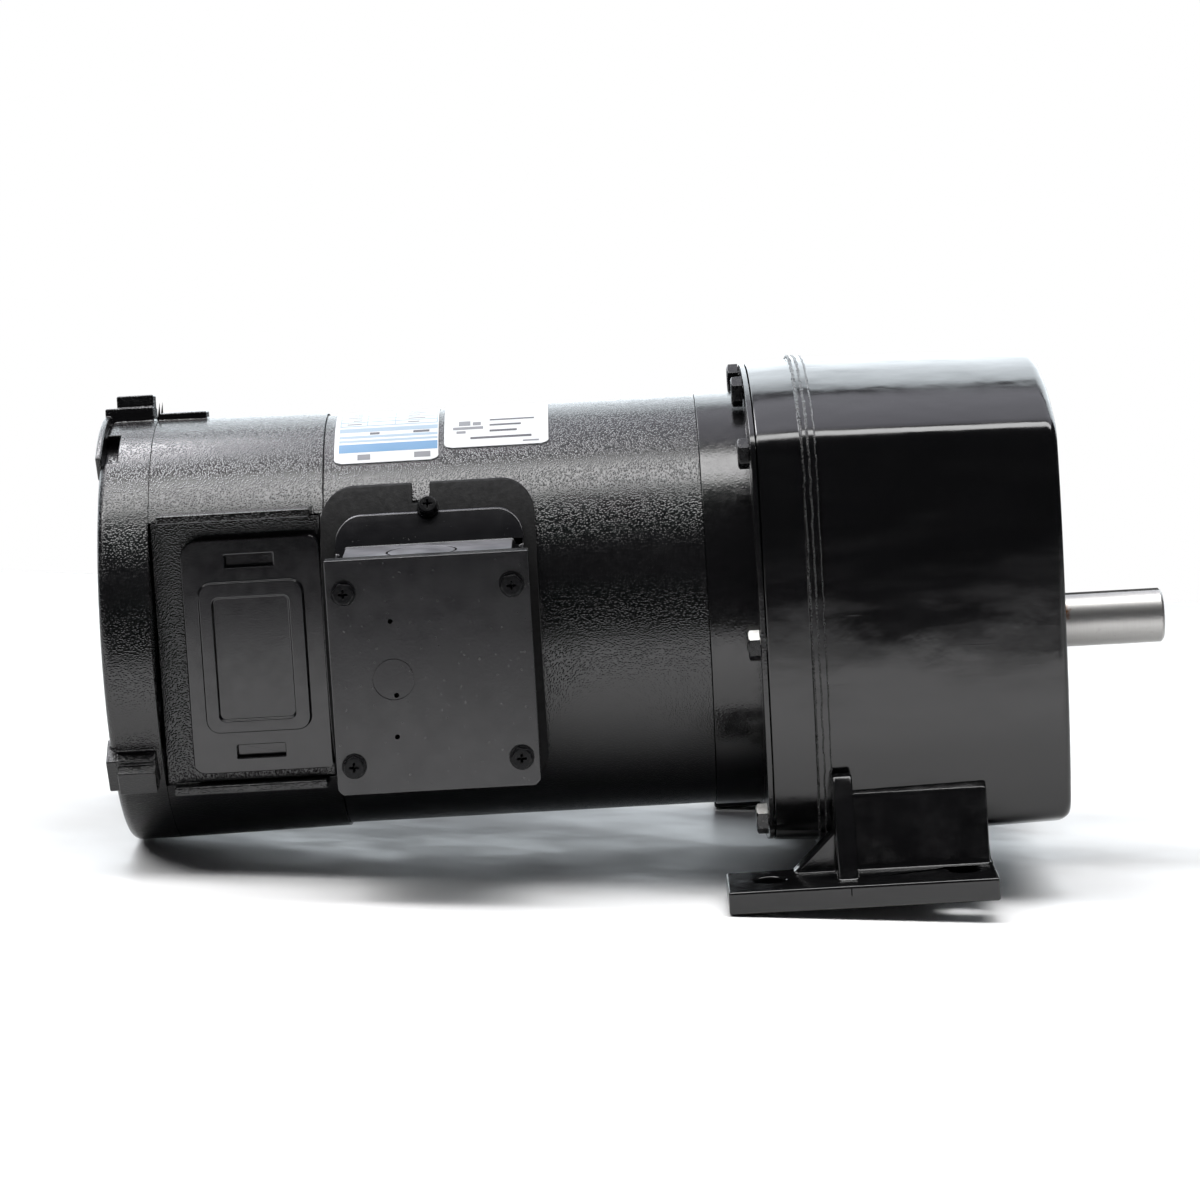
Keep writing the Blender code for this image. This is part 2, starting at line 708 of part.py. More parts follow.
def conduit_box():
    """A saddle plate that wraps the housing, with two side walls, two flaps and four screw tabs."""
    outer = SADDLE_R + 1.6
    saddle = tube("conduit_box", (-190.0, -90.0), outer, SADDLE_R, "textured_black", segments=HOUSING_SIDES)
    half = COVER_HALF_WIDTH - SHEET - 0.4
    z_low, z_high = COVER_Z[0] + SHEET + 0.4, COVER_Z[1] - SHEET + 0.6
    top = MOTOR_Z + 44.5
    outline = rounded_rectangle((BOX_X - half, BOX_X + half), (z_low - 1.0, top), (3.0, 3.0, 10.0, 10.0), 4)
    keep_inside(saddle, prism_y("saddle_outline", outline, (-100.0, -30.0)))
    front = COVER_Y + SHEET + GAP
    walls = []
    for side in (-1, 1):
        x_range = sorted((BOX_X + side * half, BOX_X + side * (half - SHEET)))
        walls.append(block(f"box_side_{side}", x_range, (front, -55.0), (z_low, z_high - 2.0)))
        tab_x = sorted((BOX_X + side * half, BOX_X + side * (half - 11.0)))
        for z in COVER_SCREW_Z:
            walls.append(block(f"box_tab_{side}_{z}", tab_x, (front, front + SHEET), (z - 5.5, z + 5.5)))
    flap = 28.2
    flap_x = (BOX_X - flap, BOX_X + flap)
    walls.append(block("box_flap_top", flap_x, (front, -55.0), (z_high - SHEET, z_high)))
    walls.append(block("box_flap_bottom", flap_x, (front, -55.0), (z_low, z_low + SHEET)))
    hollow = rod("saddle_space", (-200.0, -80.0), SADDLE_R, segments=HOUSING_SIDES)
    for wall in walls:
        cut(wall, hollow)
        join(saddle, wall)
    window = rounded_rectangle((BOX_X - 20.0, BOX_X + 20.0), (MOTOR_Z - 25.0, MOTOR_Z + 20.0), (4.0,) * 4, 3)
    cut(saddle, prism_y("saddle_window", window, (-90.0, -30.0)))
    for side in (-1, 1):
        for z in COVER_SCREW_Z:
            start = (BOX_X + side * SCREW_DX, front - 2.0, z)
            cut(saddle, peg(f"tab_hole_{side}_{z}", start, (0, 1, 0), 6.0, 2.0 + GAP, 12))
    angle = math.radians(36.6)
    axis = (0.0, -math.cos(angle), math.sin(angle))
    start = (BOX_X, -70.0 * math.cos(angle), MOTOR_Z + 70.0 * math.sin(angle))
    cut(saddle, peg("saddle_screw_hole", start, axis, 10.0, 2.0 + GAP, 12))


def conduit_cover():
    x_range = (BOX_X - COVER_HALF_WIDTH, BOX_X + COVER_HALF_WIDTH)
    clip = 1.6
    outline = rounded_rectangle(x_range, COVER_Z, (clip, clip, 0.6, 0.6), 2)
    depth = 7.0
    cover = prism_y("conduit_cover", outline, (COVER_Y, COVER_Y + depth), "textured_black")
    inner_x = (x_range[0] + SHEET, x_range[1] - SHEET)
    inner_z = (COVER_Z[0] + SHEET, COVER_Z[1] - SHEET + 0.9)
    cut(cover, block("cover_hollow", inner_x, (COVER_Y + SHEET, COVER_Y + depth + 1.0), inner_z))
    for side in (-1, 1):
        for z in COVER_SCREW_Z:
            start = (BOX_X + side * SCREW_DX, COVER_Y - 1.0, z)
            cut(cover, peg(f"cover_hole_{side}_{z}", start, (0, 1, 0), 4.0, 2.0 + GAP, 12))
    for dz in (-19.4, -5.4, 19.2):
        start = (KNOCKOUT[0], COVER_Y - 1.0, KNOCKOUT[1] + dz)
        cut(cover, peg(f"cover_pinhole_{dz}", start, (0, 1, 0), 4.0, 0.85, 10))
    start = (KNOCKOUT[0], COVER_Y - 0.5, KNOCKOUT[1])
    groove = peg("knockout_groove", start, (0, 1, 0), 0.9, KNOCKOUT_R + 0.2, 28)
    cut(groove, peg("knockout_disc", start, (0, 1, 0), 1.5, KNOCKOUT_R - 0.2, 28))
    cut(cover, groove)


def hex_screw(name, seat, axis, head_radius, head_tall, shank, length, look, turn=0.0):
    """A screw whose head rests GAP off its seat: a six-sided head and a round shank."""
    along = Vector(axis).normalized()
    head_at = Vector(seat) + along * GAP
    screw = peg(name, head_at, along, head_tall, head_radius, 6, look, turn)
    tail_at = Vector(seat) - along * length
    join(screw, peg(f"{name}_shank", tail_at, along, length + GAP + 1.0, shank, 10))


def conduit_screws():
    number = 1
    for z in COVER_SCREW_Z[::-1]:
        for side in (-1, 1):
            seat = (BOX_X + side * SCREW_DX, COVER_Y, z)
            name, turn = f"cover_screw_{number}", number * 0.35
            hex_screw(name, seat, (0, -1, 0), 3.9, 2.6, 2.0, 8.0, "black_screw", turn)
            number += 1
    angle = math.radians(36.6)
    axis = (0.0, -math.cos(angle), math.sin(angle))
    radius = SADDLE_R + 1.6
    seat = (BOX_X, -radius * math.cos(angle), MOTOR_Z + radius * math.sin(angle))
    hex_screw("box_screw", seat, axis, 3.7, 3.0, 2.0, 9.0, "black_screw")


# ---- Gearbox ------------------------------------------------------------------------------------------


def gear_case_rear():
    stations = (
        (CASE_REAR_X, 0.9),
        (PARTING_X - BAND_HALF, 0.2),
        (PARTING_X - BAND_HALF + 0.3, -BAND_PROUD),
        (PARTING_X - 0.6, -BAND_PROUD),
    )
    case = case_loft("gear_case_rear", stations)
    wall_x = CASE_REAR_X + CASE_WALL
    cut(case, case_loft("rear_cavity", ((wall_x, CASE_WALL + 0.8), (PARTING_X, CASE_WALL))))
    cut(case, rod("pinion_opening", (CASE_REAR_X - 1.0, wall_x + 1.0), 14.0))
    for tag, centre in (("first", FIRST_C), ("second", SECOND_C)):
        join(case, rod(f"rear_boss_{tag}", (wall_x - 1.0, wall_x + 7.0), 12.0, centre=centre, segments=24))
        cut(case, rod(f"rear_socket_{tag}", (wall_x - 0.5, wall_x + 8.0), 8.3, centre=centre, segments=24))
    for side in (-1, 1):
        for i, (y, z) in enumerate(CASE_BOLTS):
            start = (CASE_REAR_X - 1.0, side * y, MOTOR_Z + z)
            cut(case, peg(f"rear_hole_{side}_{i}", start, (1, 0, 0), 5.9, BOLT_R + GAP, 12))


def case_gasket():
    """Sealant between the two castings, squeezed out a little past the band on both of them."""
    outside = -BAND_PROUD - SEALANT_PROUD
    stations = ((PARTING_X - 0.3, outside), (PARTING_X + 0.3, outside))
    gasket = case_loft("case_gasket", stations, "gasket_rubber")
    cut(gasket, case_loft("gasket_hole", ((PARTING_X - 2.0, CASE_WALL), (PARTING_X + 2.0, CASE_WALL))))


def gear_case_front():
    start_x = PARTING_X + 0.6
    taper = 2.1
    stations = (
        (start_x, -BAND_PROUD),
        (PARTING_X + BAND_HALF - 0.3, -BAND_PROUD),
        (PARTING_X + BAND_HALF, 0.0),
        (CASE_FRONT_X - 3.5, taper),
        (CASE_FRONT_X - 2.3, taper + 0.5),
        (CASE_FRONT_X - 0.9, taper + 1.6),
        (CASE_FRONT_X, taper + 3.6),
    )
    case = case_loft("gear_case_front", stations)
    join(case, rod("nose", (CASE_FRONT_X - 6.0, NOSE_X), 25.0, centre=OUTPUT_C, segments=32))
    for side, tag in ((-1, "near"), (1, "far")):
        foot(case, side, tag)
    inner_x = CASE_FRONT_X - CASE_WALL
    cut(case, case_loft("front_cavity", ((start_x - 1.0, CASE_WALL), (inner_x, CASE_WALL + taper))))
    join(case, rod("bearing_hub", (44.0, inner_x + 2.0), 26.5, centre=OUTPUT_C, segments=32))
    for tag, centre in (("first", FIRST_C), ("second", SECOND_C)):
        join(case, rod(f"front_boss_{tag}", (inner_x - 8.0, inner_x + 2.0), 12.0, centre=centre, segments=24))
        cut(case, rod(f"front_socket_{tag}", (inner_x - 9.0, inner_x), 8.3, centre=centre, segments=24))
    cut(case, rod("bearing_bore", (40.0, 71.0), 21.3, centre=OUTPUT_C, segments=32))
    cut(case, rod("seal_bore", (70.0, NOSE_X + 1.0), 17.8, centre=OUTPUT_C, segments=32))


def foot(case, side, tag):
    """One foot plate with its upright web, its rib and the gusset behind the rib."""

    def out(low, high):
        return tuple(sorted((side * low, side * high)))

    x0, x1 = FOOT_X
    edge = 1.5
    outer, inner = FOOT_OUTER_Y, WEB_Y - 6.0
    section = [
        (inner, 0.0),
        (outer, 0.0),
        (outer, FOOT_THICK - edge),
        (outer - 0.45, FOOT_THICK - 0.45),
        (outer - edge, FOOT_THICK),
        (inner, FOOT_THICK),
    ]
    plate = prism_x(f"foot_plate_{tag}", [(side * y, z) for y, z in section], (x0, x1))
    for dx in (-1, 1):
        start = (dx * FOOT_HOLE[0], side * FOOT_HOLE[1], -1.0)
        cut(plate, peg(f"foot_hole_{tag}_{dx}", start, (0, 0, 1), FOOT_THICK + 2.0, FOOT_HOLE_R, 24))
    web_section = [
        (WEB_Y, 1.0),
        (WEB_Y, WEB_TOP_Z),
        (WEB_Y - 5.6, WEB_TOP_Z + 3.4),
        (WEB_Y - 7.6, WEB_TOP_Z + 3.4),
        (WEB_Y - 6.0, 1.0),
    ]
    web = prism_x(f"foot_web_{tag}", [(side * y, z) for y, z in web_section], (RIB_X[1] - 3.0, x1 - 1.4))
    gusset_outline = ((RIB_X[0] + 1.0, 1.0), (-24.4, 1.0), (-24.4, FOOT_THICK), (RIB_X[0] + 1.0, 23.0))
    gusset = prism_y(f"foot_gusset_{tag}", gusset_outline, out(WEB_Y - 6.0, WEB_Y))
    rib_section = [
        (73.0, 1.0),
        (96.5, 1.0),
        (96.0, FOOT_THICK),
        (92.0, 22.0),
        (83.4, 38.6),
        (81.0, 41.0),
        (74.0, 41.0),
    ]
    rib = prism_x(f"foot_rib_{tag}", [(side * y, z) for y, z in rib_section], RIB_X)
    join(case, plate, web, gusset, rib)


def case_bolts():
    tags = ("top", "shoulder", "side", "low")
    tail = 6.4
    for side, where in ((-1, "near"), (1, "far")):
        for tag, (y, z) in zip(tags, CASE_BOLTS):
            seat = (SHIELD_FLANGE_X, side * y, MOTOR_Z + z)
            radius = BOLT_HEAD_AF / math.sqrt(3.0)
            look = "plated_bolt" if (where, tag) in (("near", "side"), ("near", "low")) else "black_screw"
            name = f"case_bolt_{tag}_{where}"
            hex_screw(name, seat, (-1, 0, 0), radius, BOLT_HEAD_TALL, BOLT_R, tail, look)


def intermediate_shafts():
    """Two shafts, each with its pinion cut from the solid, and the gear pressed on beside the pinion."""
    layout = (
        ("first", FIRST_C, SECOND_C, MOTOR_C, STAGES[0], STAGES[1], GEAR_1_X, GEAR_2_X),
        ("second", SECOND_C, OUTPUT_C, FIRST_C, STAGES[1], STAGES[2], GEAR_2_X, GEAR_3_X),
    )
    for tag, centre, onward, back, into, out_of, gear_x, pinion_x in layout:
        rear_x = CASE_REAR_X + CASE_WALL
        front_x = CASE_FRONT_X - CASE_WALL - 0.6
        shaft = rod(f"{tag}_intermediate_shaft", (rear_x, front_x), SHAFT_R, "gear_steel", centre, 20)
        module, small, _ = out_of
        pinion = gear(f"{tag}_pinion_teeth", small, module, direction(centre, onward), pinion_x, centre)
        join(shaft, pinion)
        module, _, large = into
        angle = gap_towards(direction(centre, back), large)
        wheel = gear(f"{tag}_intermediate_gear", large, module, angle, gear_x, centre)
        bore_x = (gear_x[0] - 1, gear_x[1] + 1)
        cut(wheel, rod(f"{tag}_gear_bore", bore_x, SHAFT_R + GAP, centre=centre, segments=20))
        for end, x_range in (
            ("rear", (rear_x + 0.3, rear_x + 6.5)),
            ("front", (front_x - 7.0, front_x)),
        ):
            tube(f"{tag}_bushing_{end}", x_range, 8.0, SHAFT_R + GAP, "bronze", centre, 20)


def output_parts():
    module, _, large = STAGES[2]
    seat_r = 12.0
    profile = (
        (GEAR_3_X[0] - 1.0, 0.0),
        (GEAR_3_X[0] - 1.0, seat_r),
        (44.6, seat_r),
        (44.6, 9.9),
        (71.0, 9.9),
        (71.0, OUTPUT_R),
        (SHAFT_END_X - 0.9, OUTPUT_R),
        (SHAFT_END_X, OUTPUT_R - 0.9),
        (SHAFT_END_X, 0.0),
    )
    shaft = turned("output_shaft", profile, "ground_steel", OUTPUT_C, 32)
    keyway_x = (KEYWAY_X, SHAFT_END_X + 1.0)
    keyway = radial_bar("shaft_keyway", keyway_x, 90.0, OUTPUT_R - 2.4, 12.0, 2.38, OUTPUT_C)
    slot_x = (GEAR_3_X[0] - 3.0, GEAR_3_X[1] - 2.0)
    seat_slot = radial_bar("gear_key_slot", slot_x, 180.0, seat_r - 2.8, 14.0, 2.6, OUTPUT_C)
    cut(shaft, keyway, seat_slot)
    angle = gap_towards(direction(OUTPUT_C, SECOND_C), large)
    wheel = gear("output_gear", large, module, angle, GEAR_3_X, OUTPUT_C)
    bore_x = (GEAR_3_X[0] - 1.0, GEAR_3_X[1] + 1.0)
    bore = rod("output_gear_bore", bore_x, seat_r + GAP, centre=OUTPUT_C, segments=32)
    cut(wheel, bore, radial_bar("output_gear_slot", bore_x, 180.0, seat_r - 1.0, 15.3, 2.6, OUTPUT_C))
    key_x = (GEAR_3_X[0] + 0.3, GEAR_3_X[1] - 2.6)
    radial_bar("output_gear_key", key_x, 180.0, seat_r - 2.4, 15.0, 2.3, OUTPUT_C, "gear_steel")
    bearing("output_bearing_inner", (45.0, 57.0), 21.0, 10.2, OUTPUT_C)
    bearing("output_bearing_outer", (58.5, 70.5), 21.0, 10.2, OUTPUT_C)
    seal = (
        (71.4, OUTPUT_R + GAP),
        (71.4, 17.4),
        (75.4, 17.4),
        (75.4, 14.0),
        (73.9, 13.0),
        (74.8, OUTPUT_R + GAP),
    )
    turned("output_seal", seal, "gasket_rubber", OUTPUT_C, 24)


def main():
    clear_scene()
    motor_frame()
    labels()
    magnets()
    brush_end_shield()
    rear_end_cover()
    front_end_shield()
    slotted_core()
    windings()
    motor_shaft()
    commutator()
    motor_bearings()
    brush_gear(-1, "near")
    brush_gear(1, "far")
    conduit_gasket()
    conduit_box()
    conduit_cover()
    conduit_screws()
    gear_case_rear()
    case_gasket()
    gear_case_front()
    case_bolts()
    intermediate_shafts()
    output_parts()


main()
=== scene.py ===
"""The looks of the gearmotor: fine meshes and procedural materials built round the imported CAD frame.

Lengths in this script are millimetres in the frame's own axes, turned into metres by MM: +X runs along
the motor towards the output shaft, +Z is up, and -Y is the side that carries the conduit box.
"""

import json
import math
import random

import bmesh
import bpy
from mathutils import Matrix, Vector


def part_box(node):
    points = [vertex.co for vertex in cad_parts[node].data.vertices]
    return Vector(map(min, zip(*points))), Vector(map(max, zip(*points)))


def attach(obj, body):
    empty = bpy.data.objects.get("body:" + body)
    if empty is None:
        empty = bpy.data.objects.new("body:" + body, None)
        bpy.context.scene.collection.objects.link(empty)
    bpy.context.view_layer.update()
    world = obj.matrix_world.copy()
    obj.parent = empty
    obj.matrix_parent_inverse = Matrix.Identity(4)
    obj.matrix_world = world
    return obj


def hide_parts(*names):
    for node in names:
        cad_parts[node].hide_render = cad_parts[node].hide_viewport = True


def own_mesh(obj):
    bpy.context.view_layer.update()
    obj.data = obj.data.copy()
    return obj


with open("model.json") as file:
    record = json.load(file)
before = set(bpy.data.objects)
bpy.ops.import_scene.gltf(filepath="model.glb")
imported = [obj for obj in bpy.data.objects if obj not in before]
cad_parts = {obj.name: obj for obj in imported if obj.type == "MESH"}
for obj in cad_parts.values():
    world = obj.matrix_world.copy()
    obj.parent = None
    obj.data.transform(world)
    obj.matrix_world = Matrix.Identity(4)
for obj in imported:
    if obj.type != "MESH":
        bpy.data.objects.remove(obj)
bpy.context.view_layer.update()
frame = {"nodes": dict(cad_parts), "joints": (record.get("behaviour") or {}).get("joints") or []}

MM = 0.001
JOINTS = {joint["name"]: joint for joint in frame["joints"]}


def mm_box(node):
    """A node's lowest and highest corners, in millimetres."""
    low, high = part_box(node)
    return Vector(low) / MM, Vector(high) / MM


def joint_height(name):
    return JOINTS[name]["pos_m"][2] / MM


# ---- Driving dimensions, some read from the frame, the rest given -------------------------------------

MOTOR_Z = joint_height("rotor_spin")
OUTPUT_Z = joint_height("output_spin")
MOTOR_C = (0.0, MOTOR_Z)
OUTPUT_C = (0.0, OUTPUT_Z)

FRAME_LOW, FRAME_HIGH = mm_box("motor_frame")
CASE_LOW, CASE_HIGH = mm_box("gear_case_front")
COVER_LOW, COVER_HIGH = mm_box("conduit_cover")

FRAME_R = FRAME_HIGH.y
BRUSH_END_R = 73.4
BRUSH_END_FRONT_R = 72.5
SHIELD_R = 72.2
BORE_R = 65.6
REAR_X = -252.7
REAR_SEAM_X = -235.2
MID_SEAM_X = FRAME_LOW.x - 0.15
FRONT_SEAM_X = FRAME_HIGH.x + 0.15
FLANGE_X = -31.2
CASE_REAR_X = mm_box("gear_case_rear")[0].x
PARTING_X = -12.1
CASE_FRONT_X = 71.3
NOSE_X = CASE_HIGH.x
SHAFT_END_X = mm_box("output_shaft")[1].x
OUTPUT_R = 9.525

CASE_HALF_WIDTH = 82.6
CASE_TOP = 82.1
CASE_BOTTOM = -83.4
CASE_SIDE_BULGE = (11.5, 75.0, 2.7)  # drop, the height it is reached at, and the curve's power
CASE_TOP_R = 170.0
CASE_BOTTOM_R = 237.0
CASE_WALL = 5.5
BAND_HALF = 2.5
BAND_PROUD = 0.8

FOOT_X = (CASE_LOW.x, 43.2)
FOOT_OUTER_Y = CASE_HIGH.y
FOOT_THICK = 7.9
FOOT_HOLE = (32.75, 88.8)
FOOT_HOLE_R = 5.4
WEB_Y = 82.0
WEB_TOP_Z = 33.0
RIB_X = (-9.8, -3.2)

BOX_X = (COVER_LOW.x + COVER_HIGH.x) / 2
COVER_HALF_WIDTH = (COVER_HIGH.x - COVER_LOW.x) / 2
COVER_Z = (COVER_LOW.z, COVER_HIGH.z)
COVER_Y = COVER_LOW.y
SHEET = 1.4
SCREW_DX = 27.7
COVER_SCREW_Z = (57.0, 114.8)
SADDLE_R = 74.8
SADDLE_OUTER_R = SADDLE_R + 1.6
COVER_DEPTH = 7.0
SCREW_R = 2.0
BOX_SCREW_ANGLE = 36.6

POCKET_Y = 56.5
POCKET_HALF_HEIGHT = 45.0
CASE_BOLTS = {"top": (21.9, 74.7), "shoulder": (66.0, 58.5), "side": (77.8, -4.8), "low": (67.5, -66.0)}
BOLT_HEAD_R = 9.1 / math.sqrt(3.0)
BOLT_HEAD_TALL = 3.9
BOLT_R = 2.6
GAP = 0.3
SEAM = 0.06  # half the gap that shows between two housings
SHARP_ANGLE = 38.0  # edges sharper than this stay sharp when shaded

HOUSING_SIDES = 160
ROUND_SIDES = 64


# ---- Mesh helpers -------------------------------------------------------------------------------------


def object_from(name, bm):
    """An object from a bmesh in millimetres; its origin is the frame's origin."""
    bmesh.ops.remove_doubles(bm, verts=bm.verts, dist=1e-4)
    bmesh.ops.recalc_face_normals(bm, faces=bm.faces)
    bmesh.ops.transform(bm, matrix=Matrix.Scale(MM, 4), verts=bm.verts)
    mesh = bpy.data.meshes.new(name)
    bm.to_mesh(mesh)
    bm.free()
    obj = bpy.data.objects.new(name, mesh)
    bpy.context.scene.collection.objects.link(obj)
    return obj


def boolean(obj, others, operation):
    """Changes an object by others, which are then removed."""
    for other in others:
        modifier = obj.modifiers.new(operation, "BOOLEAN")
        modifier.operation = operation
        modifier.object = other
        modifier.solver = "EXACT"
        apply_modifiers(obj)
        if not obj.data.polygons:
            raise RuntimeError(f"{operation} with {other.name} left nothing of {obj.name}")
        bpy.data.objects.remove(other, do_unlink=True)
    return obj


def cut(obj, *others):
    return boolean(obj, others, "DIFFERENCE")


def join(obj, *others):
    return boolean(obj, others, "UNION")


def keep_inside(obj, *others):
    return boolean(obj, others, "INTERSECT")


def apply_modifiers(obj):
    graph = bpy.context.evaluated_depsgraph_get()
    mesh = bpy.data.meshes.new_from_object(obj.evaluated_get(graph))
    obj.modifiers.clear()
    obj.data = mesh


def tidy(obj, dissolve=True):
    """Merges the slivers that booleans leave and joins faces that lie in one plane."""
    bm = bmesh.new()
    bm.from_mesh(obj.data)
    bmesh.ops.remove_doubles(bm, verts=bm.verts, dist=0.02 * MM)
    bmesh.ops.dissolve_degenerate(bm, edges=bm.edges, dist=0.01 * MM)
    if dissolve:
        bmesh.ops.dissolve_limit(
            bm, angle_limit=math.radians(0.3), verts=bm.verts, edges=bm.edges, use_dissolve_boundaries=False
        )
    bm.to_mesh(obj.data)
    bm.free()
    return obj


def soften(obj, width, segments=3, angle=32.0):
    """Rounds every edge that is sharper than an angle."""
    tidy(obj)
    bevel = obj.modifiers.new("edges", "BEVEL")
    bevel.width = width * MM
    bevel.segments = segments
    bevel.limit_method = "ANGLE"
    bevel.angle_limit = math.radians(angle)
    bevel.use_clamp_overlap = False
    bevel.miter_outer = "MITER_ARC"
    apply_modifiers(obj)


def finish(obj, look, body, nodes, edge=0.0, segments=3, angle=32.0):
    """Rounds the sharp edges, shades the piece, gives it its look, hangs it on its body and hides the frame's
    nodes that it stands for.
    """
    if edge > 0.0:
        soften(obj, edge, segments, angle)
    obj.data.shade_smooth()
    obj.data.set_sharp_from_angle(angle=math.radians(SHARP_ANGLE))
    weighted = obj.modifiers.new("normals", "WEIGHTED_NORMAL")
    weighted.keep_sharp = True
    weighted.weight = 80
    obj.data.materials.clear()
    obj.data.materials.append(LOOKS[look])
    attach(obj, body)
    if nodes:
        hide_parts(*nodes)
    return obj


def second_look(obj, look, chosen):
    """Gives the faces that chosen picks out another look."""
    obj.data.materials.append(LOOKS[look])
    for face in obj.data.polygons:
        if chosen(face):
            face.material_index = 1


def skin(bm, rows, following):
    """Faces from each ring of vertices to the one that follows it."""
    for low, high in zip(rows, following):
        count = len(low)
        for i in range(count):
            j = (i + 1) % count
            bm.faces.new((low[i], low[j], high[j], high[i]))


def loft(name, rings):
    """A closed body through rings of points, each ring with the same number of points."""
    bm = bmesh.new()
    rows = [[bm.verts.new(point) for point in ring] for ring in rings]
    skin(bm, rows, rows[1:])
    bm.faces.new(rows[0][::-1])
    bm.faces.new(rows[-1])
    return object_from(name, bm)


def prism_x(name, outline, x_range):
    """An outline of (y, z) points drawn out along X."""
    return loft(name, [[(x, y, z) for y, z in outline] for x in x_range])


def prism_y(name, outline, y_range):
    """An outline of (x, z) points drawn out along Y."""
    return loft(name, [[(x, y, z) for x, z in outline] for y in y_range])


def block(name, x_range, y_range, z_range):
    y0, y1 = sorted(y_range)
    z0, z1 = z_range
    return prism_x(name, ((y0, z0), (y1, z0), (y1, z1), (y0, z1)), x_range)


def rounded(points, steps=4):
    """A closed outline of (u, v, radius) corners with each corner rounded to its radius."""
    outline = []
    count = len(points)
    for i, (u, v, radius) in enumerate(points):
        corner = Vector((u, v))
        if radius <= 0.0:
            outline.append((u, v))
            continue
        before = (Vector(points[i - 1][:2]) - corner).normalized()
        after = (Vector(points[(i + 1) % count][:2]) - corner).normalized()
        half = before.angle(after) / 2
        reach = radius / math.tan(half)
        middle = corner + (before + after).normalized() * radius / math.sin(half)
        start = corner + before * reach - middle
        end = corner + after * reach - middle
        turn = start.angle_signed(end)
        for k in range(steps + 1):
            outline.append(tuple(middle + Matrix.Rotation(-turn * k / steps, 2) @ start))
    return outline


def rounded_rectangle(u_range, v_range, radii, steps=6):
    """Outline of a rectangle; radii are for its corners from low-low round through high-low."""
    (u0, u1), (v0, v1) = u_range, v_range
    r0, r1, r2, r3 = radii
    return rounded(((u0, v0, r0), (u1, v0, r1), (u1, v1, r2), (u0, v1, r3)), steps)


def turned(name, profile, centre=MOTOR_C, segments=ROUND_SIDES):
    """A closed profile of (x, radius) points turned about the line along X through centre = (y, z)."""
    bm = bmesh.new()
    rows = []
    for x, radius in profile:
        if radius < 1e-6:
            rows.append([bm.verts.new((x, centre[0], centre[1]))])
            continue
        angles = [math.tau * i / segments for i in range(segments)]
        ring = [(x, centre[0] + radius * math.cos(a), centre[1] + radius * math.sin(a)) for a in angles]
        rows.append([bm.verts.new(point) for point in ring])
    for low, high in zip(rows, rows[1:] + rows[:1]):
        if len(low) == 1 and len(high) == 1:
            continue
        for i in range(segments):
            j = (i + 1) % segments
            corners = [low[i % len(low)], low[j % len(low)], high[j % len(high)], high[i % len(high)]]
            bm.faces.new(list(dict.fromkeys(corners)))
    return object_from(name, bm)


def rod(name, x_range, radius, centre=MOTOR_C, segments=ROUND_SIDES):
    x0, x1 = x_range
    return turned(name, ((x0, 0.0), (x0, radius), (x1, radius), (x1, 0.0)), centre, segments)


def tube(name, x_range, outer, inner, centre=MOTOR_C, segments=ROUND_SIDES):
    x0, x1 = x_range
    return turned(name, ((x0, inner), (x0, outer), (x1, outer), (x1, inner)), centre, segments)


def aim(bm, middle, axis, turn):
    """Turns a mesh about Z, points its Z along an axis, and moves it to a place."""
    spin = Vector(axis).to_track_quat("Z", "Y").to_matrix().to_4x4()
    place = Matrix.Translation(middle) @ spin @ Matrix.Rotation(turn, 4, "Z")
    bmesh.ops.transform(bm, matrix=place, verts=bm.verts)


def peg(name, start, axis, length, radius, sides=32, top=None, turn=0.0):
    """A round or many-sided peg along a direction; top is the far end's radius."""
    bm = bmesh.new()
    far = radius if top is None else top
    bmesh.ops.create_cone(
        bm, cap_ends=True, segments=sides, radius1=radius, radius2=far, depth=length
    )
    aim(bm, Vector(start) + Vector(axis).normalized() * length / 2, axis, turn)
    return object_from(name, bm)


def radial_bar(name, x_range, degrees, low, high, half_width, centre=MOTOR_C):
    """A bar along X that stands off a shaft line at an angle from -Y towards +Z."""
    angle = math.radians(degrees)
    out = Vector((-math.cos(angle), math.sin(angle)))
    across = Vector((out.y, -out.x))
    middle = Vector(centre)
    corners = [
        middle + out * low - across * half_width,
        middle + out * low + across * half_width,
        middle + out * high + across * half_width,
        middle + out * high - across * half_width,
    ]
    return prism_x(name, [tuple(c) for c in corners], x_range)


